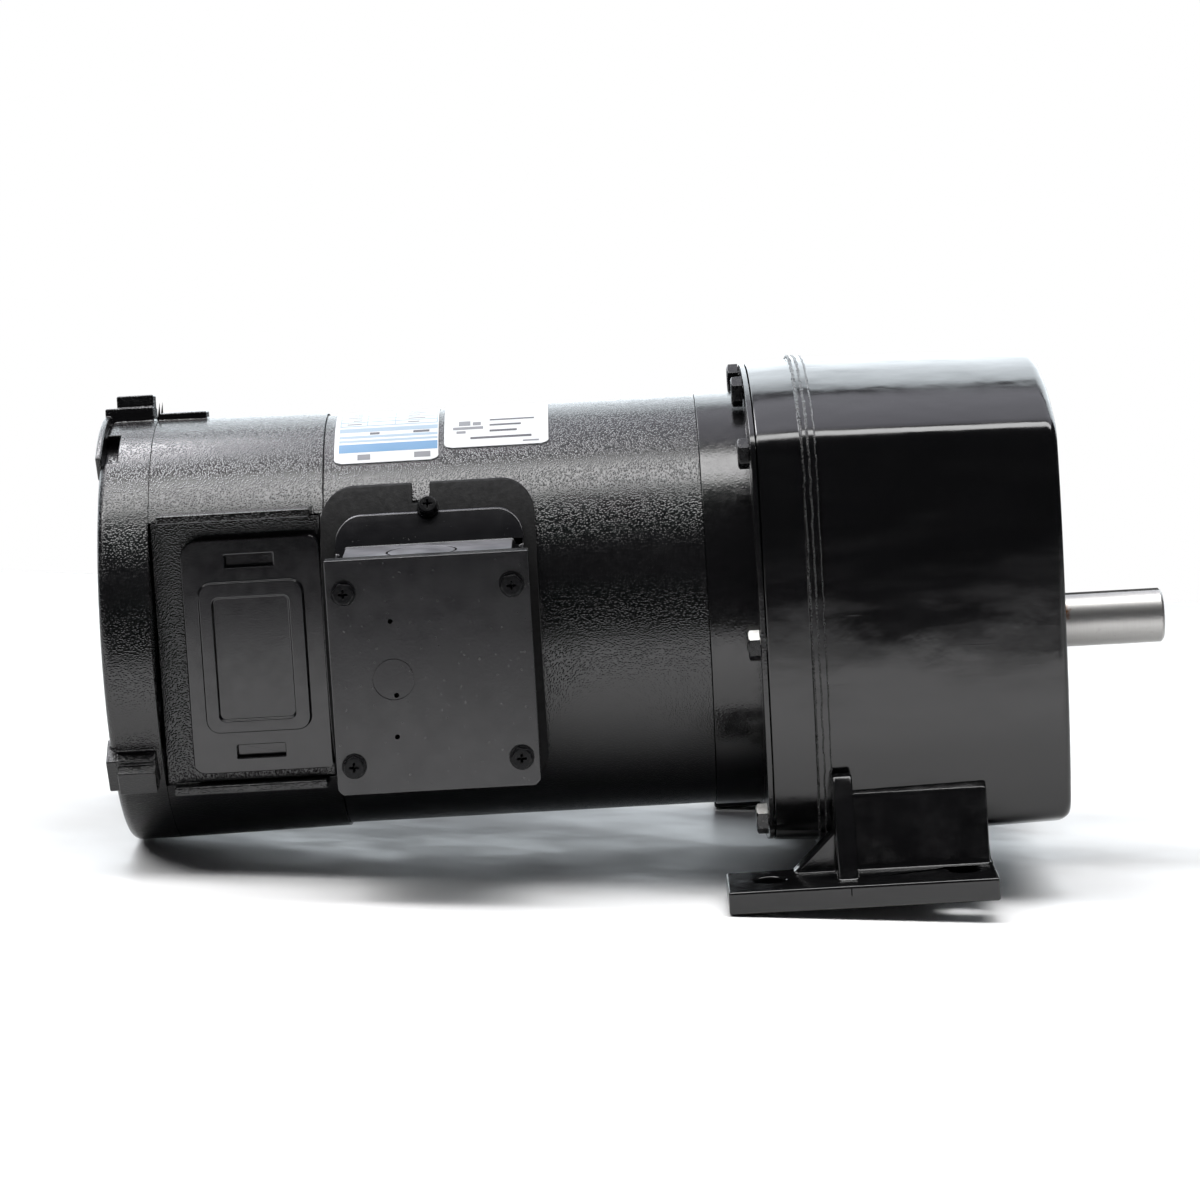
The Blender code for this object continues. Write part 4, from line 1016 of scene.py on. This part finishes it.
def conduit_box():
    """A saddle plate that wraps the housing, with two side walls, two flaps and four screw tabs."""
    saddle = tube("box_saddle", (-190.0, -90.0), SADDLE_OUTER_R, SADDLE_R, segments=HOUSING_SIDES)
    half = COVER_HALF_WIDTH - SHEET - 0.4
    z_low, z_high = COVER_Z[0] + SHEET + 0.4, COVER_Z[1] - SHEET + 0.6
    top = MOTOR_Z + 44.5
    outline = rounded_rectangle((BOX_X - half, BOX_X + half), (z_low - 1.0, top), (3.0, 3.0, 9.0, 9.0), 10)
    keep_inside(saddle, prism_y("saddle_outline", outline, (-100.0, -30.0)))
    front = COVER_Y + SHEET + GAP
    walls = []
    for side in (-1, 1):
        x_range = sorted((BOX_X + side * half, BOX_X + side * (half - SHEET)))
        walls.append(block(f"box_side_{side}", x_range, (front, -55.0), (z_low, z_high - 2.0)))
        tab_x = sorted((BOX_X + side * half, BOX_X + side * (half - 11.0)))
        for z in COVER_SCREW_Z:
            walls.append(block(f"box_tab_{side}_{z}", tab_x, (front, front + SHEET), (z - 5.5, z + 5.5)))
    flap = 28.2
    flap_x = (BOX_X - flap, BOX_X + flap)
    walls.append(block("box_flap_top", flap_x, (front, -55.0), (z_high - SHEET, z_high)))
    walls.append(block("box_flap_bottom", flap_x, (front, -55.0), (z_low, z_low + SHEET)))
    for wall in walls:
        cut(wall, rod("saddle_space", (-200.0, -80.0), SADDLE_R, segments=HOUSING_SIDES))
        join(saddle, wall)
    knockout_y = (front + outer_y_at(z_high)) / 2
    ring = tube("knockout", (0.0, 2.0), 11.7, 11.35, (0.0, 0.0), 64)
    swing(ring, -90.0, "Y", (BOX_X - 2.0, knockout_y, z_high - 0.5))
    holes = cover_screw_holes(front - 2.0, 6.0)
    cut(saddle, wiring_window("saddle_window", (-90.0, -30.0)), *holes, ring)
    finish(saddle, "sheet_paint", "housing", ["conduit_box"], edge=0.4)
    # painted sheen: the flap's upward faces get the lighter, metallic look, standing in for the light they
    # reflect from above
    flap_z = (z_high - 1.0) * MM
    second_look(saddle, "flap_sheen_look", lambda face: face.normal.z > 0.9 and face.center.z > flap_z)


def outer_y_at(z):
    """Where the saddle's outside is at a height, on the conduit box's side."""
    return -math.sqrt(SADDLE_OUTER_R**2 - (z - MOTOR_Z) ** 2)


def swing(obj, degrees, axis, place):
    """Turns a helper made along X about an axis, and moves it to a place."""
    turn = Matrix.Rotation(math.radians(degrees), 4, axis)
    obj.data.transform(Matrix.Translation(Vector(place) * MM) @ turn)


def conduit_cover():
    x_range = (BOX_X - COVER_HALF_WIDTH, BOX_X + COVER_HALF_WIDTH)
    outline = rounded(
        (
            (x_range[0] + 1.8, COVER_Z[0], 0.6),
            (x_range[1] - 1.8, COVER_Z[0], 0.6),
            (x_range[1], COVER_Z[0] + 1.8, 0.6),
            (x_range[1], COVER_Z[1], 0.5),
            (x_range[0], COVER_Z[1], 0.5),
            (x_range[0], COVER_Z[0] + 1.8, 0.6),
        ),
        3,
    )
    cover = prism_y("cover_sheet", outline, (COVER_Y, COVER_Y + COVER_DEPTH))
    soften(cover, 0.45, 3)
    inner_x = (x_range[0] + SHEET, x_range[1] - SHEET)
    inner_z = (COVER_Z[0] + SHEET, COVER_Z[1] - SHEET + 0.9)
    cuts = [block("cover_hollow", inner_x, (COVER_Y + SHEET, COVER_Y + COVER_DEPTH + 1.0), inner_z)]
    cuts += cover_screw_holes(COVER_Y - 1.0, 4.0)
    pin_x = BOX_X - 12.9
    for z in (104.7, 66.1):
        cuts.append(peg(f"cover_pinhole_{z}", (pin_x, COVER_Y - 1.0, z), (0, 1, 0), 4.0, 0.85, 16))
    cuts.append(peg("tab_spot", (pin_x + 0.6, COVER_Y - 1.0, 80.0), (0, 1, 0), 4.0, 0.85, 16))
    groove = tube("knockout_groove", (-1.0, 0.5), 7.05, 6.55, (0.0, 0.0), 64)
    swing(groove, 90.0, "Z", (pin_x, COVER_Y, 85.5))
    cuts.append(groove)
    cut(cover, *cuts)
    finish(cover, "sheet_paint", "housing", ["conduit_cover"])


def cross_recess(name, top, axis, reach, depth):
    """The cutter for a Phillips recess: two crossed tapering blades."""
    blades = []
    for turn in (0.0, math.pi / 2):
        bm = bmesh.new()
        bmesh.ops.create_cone(
            bm, cap_ends=True, segments=4, radius1=reach * 0.35, radius2=reach, depth=depth
        )
        bmesh.ops.rotate(bm, matrix=Matrix.Rotation(math.pi / 4, 3, "Z"), verts=bm.verts)
        bmesh.ops.scale(bm, vec=(1.0, 0.22, 1.0), verts=bm.verts)
        aim(bm, Vector(top) - Vector(axis).normalized() * (depth / 2 - 0.05), axis, turn)
        blades.append(object_from(f"{name}_{turn}", bm))
    return blades


def hex_head(name, seat, axis, radius, tall, shank, length, turn=0.0, washer=0.0):
    """A hexagon head with a chamfered top, an optional washer face, and a round shank."""
    along = Vector(axis).normalized()
    head_at = Vector(seat) + along * GAP
    head = peg(name, head_at, along, tall, radius, 6, turn=turn)
    flat = radius * math.cos(math.pi / 6)
    height = tall + 0.1
    dome = peg("dome", head_at - along * 0.1, along, height, radius + height * 1.3, 48, top=flat * 0.93)
    keep_inside(head, dome)
    if washer > 0.0:
        join(head, peg("washer", head_at, along, washer, radius * 1.10, 48))
    join(head, peg("shank", Vector(seat) - along * length, along, length + GAP + 0.6, shank, 24))
    return head


def conduit_screws():
    places = []
    number = 1
    for z in COVER_SCREW_Z[::-1]:
        for side in (-1, 1):
            seat = (BOX_X + side * SCREW_DX, COVER_Y, z)
            places.append((f"cover_screw_{number}", seat, (0.0, -1.0, 0.0), 3.75, 2.5, 8.0, number * 0.35))
            number += 1
    angle = math.radians(BOX_SCREW_ANGLE)
    axis = (0.0, -math.cos(angle), math.sin(angle))
    seat = (BOX_X, SADDLE_OUTER_R * axis[1], MOTOR_Z + SADDLE_OUTER_R * axis[2])
    places.append(("box_screw", seat, axis, 3.5, 2.9, 9.0, 0.2))
    for node, seat, axis, head_r, tall, length, turn in places:
        screw = hex_head(f"{node}_hex", seat, axis, head_r, tall, SCREW_R, length, turn, 0.7)
        top = Vector(seat) + Vector(axis) * (GAP + tall)
        cut(screw, *cross_recess("phillips", top, axis, 2.5, 1.7))
        finish(screw, "black_screw", "housing", [node], edge=0.12, segments=2)


# ---- Gear case ----------------------------------------------------------------------------------------


def gear_case_rear():
    band = PARTING_X - BAND_HALF
    stations = (
        (CASE_REAR_X, 0.9 + 0.7),
        (CASE_REAR_X + 0.2, 0.9 + 0.22),
        (CASE_REAR_X + 0.7, 0.9),
        (band - 0.3, 0.2),
        (band, 0.0),
        (band + 0.25, -BAND_PROUD + 0.15),
        (band + 0.6, -BAND_PROUD),
        (PARTING_X - SEAM, -BAND_PROUD),
    )
    case = case_loft("rear_casting", stations)
    wall_x = CASE_REAR_X + CASE_WALL
    cuts = [
        case_loft("rear_cavity", ((wall_x, CASE_WALL + 0.8), (PARTING_X + 1.0, CASE_WALL))),
        rod("pinion_opening", (CASE_REAR_X - 1.0, wall_x + 1.0), 14.0),
    ]
    cut(case, *cuts, *bolt_holes(CASE_REAR_X - 1.0, 5.9))
    finish(case, "case_paint", "housing", ["gear_case_rear"])


def gear_case_front():
    band = PARTING_X + BAND_HALF
    taper = 2.1
    front = CASE_FRONT_X
    stations = [
        (PARTING_X + SEAM, -BAND_PROUD),
        (band - 0.6, -BAND_PROUD),
        (band - 0.25, -BAND_PROUD + 0.15),
        (band, 0.0),
        (band + 0.3, 0.1),
    ]
    fillet = 3.6
    steps = 7
    for k in range(steps + 1):
        a = math.pi / 2 * k / steps
        stations.append((front - fillet + fillet * math.sin(a), taper + fillet * (1 - math.cos(a))))
    case = case_loft("front_casting", stations)
    nose_rear = front - 6.0
    nose_profile = ((nose_rear, 0.0, 0.0), (nose_rear, 25.0, 0.0), (NOSE_X, 25.0, 1.4), (NOSE_X, 0.0, 0.0))
    join(case, turned("nose", rounded(nose_profile, 4), OUTPUT_C))
    inner_x = front - CASE_WALL
    cut(case, case_loft("front_cavity", ((PARTING_X - 1.0, CASE_WALL), (inner_x, CASE_WALL + taper))))
    join(case, rod("bearing_hub", (44.0, inner_x + 2.0), 26.5, OUTPUT_C))
    bore = rod("bearing_bore", (40.0, 71.0), 21.3, OUTPUT_C)
    cut(case, bore, rod("seal_bore", (70.0, NOSE_X + 1.0), 17.8, OUTPUT_C))
    finish(case, "case_paint", "housing", ["gear_case_front"])
    for side, tag in ((-1, "near"), (1, "far")):
        foot(side, tag)


def foot(side, tag):
    """One foot plate with its upright web, its rib and the gusset behind the rib."""
    x0, x1 = FOOT_X
    inner_y = WEB_Y - 8.0
    plate_section = ((inner_y, 0.0), (FOOT_OUTER_Y, 0.0), (FOOT_OUTER_Y, FOOT_THICK), (inner_y, FOOT_THICK))
    plate = prism_x(f"foot_{tag}", [(side * y, z) for y, z in plate_section], (x0, x1))
    web_section = (
        (WEB_Y + 1.6, FOOT_THICK - 1.0),
        (WEB_Y + 0.3, FOOT_THICK + 2.2),
        (WEB_Y - 3.0, WEB_TOP_Z),
        (WEB_Y - 8.0, WEB_TOP_Z + 4.0),
        (WEB_Y - 12.0, WEB_TOP_Z + 4.0),
        (WEB_Y - 8.0, FOOT_THICK - 1.0),
    )
    web = prism_x("foot_web", [(side * y, z) for y, z in web_section], (RIB_X[1] - 3.0, x1 - 1.2))
    slope_x = (RIB_X[0] + 1.0, -24.4)
    gusset_outline = ((slope_x[0], 1.0), (slope_x[1], 1.0), (slope_x[1], FOOT_THICK), (slope_x[0], 23.0))
    gusset = prism_y("foot_gusset", gusset_outline, sorted((side * (WEB_Y - 8.0), side * WEB_Y)))
    rib_section = (
        (71.0, 1.0),
        (96.6, 1.0),
        (96.2, FOOT_THICK),
        (93.4, 25.0),
        (85.2, 38.4),
        (82.6, 41.0),
        (73.0, 41.0),
    )
    rib = prism_x("foot_rib", [(side * y, z) for y, z in rib_section], RIB_X)
    join(plate, web, gusset, rib)
    for dx in (-1, 1):
        start = (dx * FOOT_HOLE[0], side * FOOT_HOLE[1], -1.0)
        cut(plate, peg("foot_hole", start, (0, 0, 1), FOOT_THICK + 2.0, FOOT_HOLE_R, 48))
    soften(plate, 1.0, 4)
    seam_x = (RIB_X[0] + RIB_X[1]) / 2 + 0.4
    seam_y = sorted((side * (FOOT_OUTER_Y - 0.3), side * (FOOT_OUTER_Y + 1.0)))
    cut(plate, block("mould_line", (seam_x - 0.18, seam_x + 0.18), seam_y, (-1.0, FOOT_THICK + 1.0)))
    finish(plate, "foot_paint", "housing", [])


def outline_steps(inset, spacing):
    """Points along the case's section about spacing apart, each with its outward direction."""
    path = [Vector(point) for point in case_outline(inset)]
    steps = []
    for first, second in zip(path, path[1:] + path[:1]):
        along = (second - first).normalized()
        out = Vector((along.y, -along.x))
        if out.dot(first - Vector(MOTOR_C)) < 0.0:
            out = -out
        pieces = max(1, round((second - first).length / spacing))
        steps += [(first.lerp(second, k / pieces), out) for k in range(pieces)]
    return steps


# Across and up, as parts of a bead's half width and height; below nought is millimetres into the case
BEAD_SECTION = ((-1.0, -0.5), (-0.75, 0.45), (-0.25, 1.0), (0.25, 0.9), (0.75, 0.35), (1.0, -0.5))


def ragged_bead(name, x, spread, proud, spikes, rng):
    """A rough bead round the case, with lumps that stand up where it was squeezed out."""
    steps = outline_steps(-BAND_PROUD, 0.8)
    bm = bmesh.new()
    rows = []
    wander, lump = 0.0, 0.0
    for point, out in steps:
        upper = max(0.0, out.y)
        wander = 0.7 * wander + rng.uniform(-0.13, 0.13)
        lump = max(0.6 * lump, spikes * rng.random() * (0.3 + 0.7 * upper) if rng.random() < 0.16 else 0.0)
        high = proud * rng.uniform(0.1, 1.0) + lump
        wide = spread * (1.0 + 1.1 * upper * rng.random())
        ring = []
        for across, lift in BEAD_SECTION:
            level = lift * high if lift > 0.0 else lift
            place = point + out * (level * rng.uniform(0.8, 1.0))
            ring.append(bm.verts.new((x + wander + across * wide, place.x, place.y)))
        rows.append(ring)
    skin(bm, rows, rows[1:] + rows[:1])
    return object_from(name, bm)


def sealant():
    """The sealant squeezed out where the two castings meet, smeared along the band's rear edge too."""
    rng = random.Random(7)
    joint = ragged_bead("sealant_joint", PARTING_X, 0.40, 0.30, 0.40, rng)
    finish(joint, "sealant", "housing", ["case_gasket"])
    beads = (
        ("rear", PARTING_X - BAND_HALF + 0.5, 0.38, 0.34, 0.80),
        ("front", PARTING_X + BAND_HALF - 0.2, 0.24, 0.12, 0.12),
    )
    for tag, x, spread, proud, spikes in beads:
        bead = ragged_bead(f"sealant_{tag}", x, spread, proud, spikes, rng)
        finish(bead, "sealant", "housing", [])


def case_bolts():
    for side, where in ((-1, "near"), (1, "far")):
        for tag, (y, z) in CASE_BOLTS.items():
            node = f"case_bolt_{tag}_{where}"
            seat = (FLANGE_X, side * y, MOTOR_Z + z)
            bolt = hex_head(f"{node}_hex", seat, (-1.0, 0.0, 0.0), BOLT_HEAD_R, BOLT_HEAD_TALL, BOLT_R, 6.4)
            # painted highlight: these two bolts get bright zinc on their upward faces, for worn paint and for
            # the light that falls on them from above
            if node in ("case_bolt_side_near", "case_bolt_low_near"):
                finish(bolt, "black_bolt", "housing", [node], edge=0.18, segments=2)
                second_look(bolt, "zinc_and_highlight_look", lambda face: face.normal.z > 0.35)
            else:
                finish(bolt, "black_bolt", "housing", [node], edge=0.18, segments=2)


# ---- Output -------------------------------------------------------------------------------------------


def output_shaft():
    gear_low, gear_high = mm_box("output_gear")
    seat_r = 12.0
    profile = rounded(
        (
            (gear_low.x - 1.0, 0.0, 0.0),
            (gear_low.x - 1.0, seat_r, 0.4),
            (44.6, seat_r, 0.0),
            (44.6, 9.9, 0.0),
            (71.0, 9.9, 0.0),
            (71.0, OUTPUT_R, 0.0),
            (SHAFT_END_X - 0.9, OUTPUT_R, 0.3),
            (SHAFT_END_X, OUTPUT_R - 0.9, 0.2),
            (SHAFT_END_X, 0.0, 0.0),
        ),
        3,
    )
    shaft = turned("drive_shaft", profile, OUTPUT_C, 128)
    key = radial_bar("shaft_keyway", (76.5, SHAFT_END_X + 1.0), 90.0, OUTPUT_R - 2.4, 12.0, 2.38, OUTPUT_C)
    seat_x = (gear_low.x - 3.0, gear_high.x - 2.0)
    cut(shaft, key, radial_bar("gear_key_slot", seat_x, 180.0, seat_r - 2.8, 14.0, 2.6, OUTPUT_C))
    finish(shaft, "shaft_steel", "output", ["output_shaft"], edge=0.12, segments=2)


def output_seal():
    low, high = mm_box("output_seal")
    outer = (high.z - low.z) / 2
    profile = rounded(
        (
            (low.x, OUTPUT_R + 0.3, 0.0),
            (low.x, outer, 0.2),
            (high.x, outer, 0.3),
            (high.x, outer - 3.4, 0.4),
            (high.x - 1.5, outer - 4.4, 0.5),
            (high.x - 0.6, OUTPUT_R + 0.3, 0.2),
        ),
        3,
    )
    seal = turned("lip_seal", profile, OUTPUT_C, 96)
    finish(seal, "seal", "housing", ["output_seal"])


# ---- Pieces kept from the frame -----------------------------------------------------------------------

KEPT = {
    "ferrite": ("magnet_upper", "magnet_lower"),
    "bright_steel": (
        "rear_motor_bearing",
        "front_motor_bearing",
        "output_bearing_inner",
        "output_bearing_outer",
        "motor_shaft",
    ),
    "bronze": (
        "brush_holder_near",
        "brush_holder_far",
        "first_bushing_rear",
        "first_bushing_front",
        "second_bushing_rear",
        "second_bushing_front",
    ),
    "gear_steel": (
        "motor_pinion",
        "first_intermediate_shaft",
        "first_intermediate_gear",
        "second_intermediate_shaft",
        "second_intermediate_gear",
        "output_gear",
        "output_gear_key",
    ),
    "windings": ("armature_winding_front", "armature_winding_rear"),
    "copper": ("commutator",),
    "laminations": ("armature_core",),
    "carbon": ("brush_near", "brush_far"),
}


def kept_nodes():
    for look, nodes in KEPT.items():
        for node in nodes:
            slots = frame["nodes"][node].material_slots
            for place in slots:
                place.material = LOOKS[look]


# ---- Studio -------------------------------------------------------------------------------------------


def floor():
    """A pale table, tilted to touch the two edges that the unbolted motor tips back onto."""
    foot_x, rear_x = FOOT_X[0], REAR_X
    rear_z = MOTOR_Z - BRUSH_END_R
    tilt = math.atan2(rear_z, foot_x - rear_x)
    bpy.ops.mesh.primitive_plane_add(size=1.0)
    table = bpy.context.object
    table.name = "floor"
    near, far = -0.60, 0.62
    slope = Matrix.Rotation(tilt, 4, "Y")
    contact = Vector((foot_x * MM, 0.0, -0.0003))
    middle = Matrix.Translation((0.0, (near + far) / 2, 0.0))
    size = Matrix.Diagonal((9.0, far - near, 1.0, 1.0))
    table.matrix_world = Matrix.Translation(contact) @ slope @ middle @ size
    g = Graph("table")
    g.colour(g.ramp(g.noise(60.0, 3.0), (0.3, 0.80), (0.7, 0.86)))
    scuffs = g.noise(22.0, 5.0, 0.7, (1.0, 0.25, 1.0))
    g.roughness(g.ramp(scuffs, (0.40, 0.30), (0.62, 0.60)))
    g.put(Specular_IOR_Level=0.16)
    table.data.materials.append(g.material)


BOTH = ("diffuse", "glossy")


def light(name, size, place, target, watts, colour=(1.0, 1.0, 1.0), lights_up=BOTH, spread=180.0):
    """A rectangular lamp; lights_up says which kinds of ray see it, and spread is in degrees."""
    data = bpy.data.lights.new(name, "AREA")
    data.shape = "RECTANGLE"
    data.size, data.size_y = size
    data.energy = watts
    data.color = colour
    data.spread = math.radians(spread)
    lamp = bpy.data.objects.new(name, data)
    lamp.location = place
    lamp.rotation_mode = "QUATERNION"
    lamp.rotation_quaternion = (Vector(target) - Vector(place)).to_track_quat("-Z", "Y")
    lamp.visible_camera = False
    lamp.visible_diffuse = "diffuse" in lights_up
    lamp.visible_glossy = "glossy" in lights_up
    bpy.context.scene.collection.objects.link(lamp)


def studio():
    x = -0.08  # the middle of the motor
    above = 1.35
    gloss, matt = ("glossy",), ("diffuse",)
    cool, sky, pale, warm = (0.98, 0.97, 1.0), (0.88, 0.95, 1.0), (0.90, 0.90, 1.0), (0.99, 0.98, 1.0)
    light("overhead_strip", (2.8, 0.46), (x, -0.12, above), (x, -0.12, 0.0), 43.0)
    light("left_softbox", (0.60, 0.66), (-0.62, 0.80, above), (-0.62, 0.80, 0.0), 15.0, cool, gloss)
    light("ceiling_bounce", (3.4, 1.25), (x, 0.90, above + 0.1), (x, 0.90, 0.0), 17.0, pale, gloss)
    light("backdrop", (3.6, 1.15), (x, 1.5, 0.66), (x, 0.0, 0.66), 34.0, sky, gloss)
    light("table_front", (2.8, 0.42), (x, -0.37, 0.40), (x, -0.37, 0.0), 5.6, warm, matt, 50.0)
    world = bpy.data.worlds.new("studio")
    bpy.context.scene.world = world
    world.use_nodes = True
    tree = world.node_tree
    tree.nodes.clear()
    out = tree.nodes.new("ShaderNodeOutputWorld")
    mix = tree.nodes.new("ShaderNodeMixShader")
    path = tree.nodes.new("ShaderNodeLightPath")
    room = tree.nodes.new("ShaderNodeBackground")
    wall = tree.nodes.new("ShaderNodeBackground")
    room.inputs["Color"].default_value = (0.045, 0.045, 0.049, 1.0)
    wall.inputs["Color"].default_value = (1.0, 1.0, 1.0, 1.0)
    tree.links.new(path.outputs["Is Camera Ray"], mix.inputs[0])
    tree.links.new(room.outputs[0], mix.inputs[1])
    tree.links.new(wall.outputs[0], mix.inputs[2])
    tree.links.new(mix.outputs[0], out.inputs["Surface"])
    bpy.context.scene.view_settings.view_transform = "Standard"


def camera():
    """Nearly square to the motor's near side, slightly above it, and a little rolled."""
    target = Vector((-84.66, 0.0, MOTOR_Z)) * MM
    distance = 1.5555
    azimuth, elevation, roll = math.radians(0.36), math.radians(8.81), math.radians(-3.26)
    back = Vector(
        (
            math.sin(azimuth) * math.cos(elevation),
            -math.cos(azimuth) * math.cos(elevation),
            math.sin(elevation),
        )
    )
    level = (-back).cross(Vector((0.0, 0.0, 1.0))).normalized()
    upright = level.cross(-back)
    right = level * math.cos(roll) + upright * math.sin(roll)
    up = upright * math.cos(roll) - level * math.sin(roll)
    data = bpy.data.cameras.new("camera")
    data.sensor_width = 36.0
    data.lens = 132.58
    data.shift_y = 0.0037
    obj = bpy.data.objects.new("camera", data)
    turn = Matrix((right, up, back)).transposed().to_4x4()
    obj.matrix_world = Matrix.Translation(target + back * distance) @ turn
    bpy.context.scene.collection.objects.link(obj)
    bpy.context.scene.camera = obj


motor_frame()
brush_end_shield()
rear_end_cover()
front_end_shield()
for side, tag in ((-1, "near"), (1, "far")):
    brush_cover(side, tag)
    brush_spring(side, tag)
labels()
conduit_gasket()
conduit_box()
conduit_cover()
conduit_screws()
gear_case_rear()
gear_case_front()
sealant()
case_bolts()
output_shaft()
output_seal()
kept_nodes()
floor()
studio()
camera()
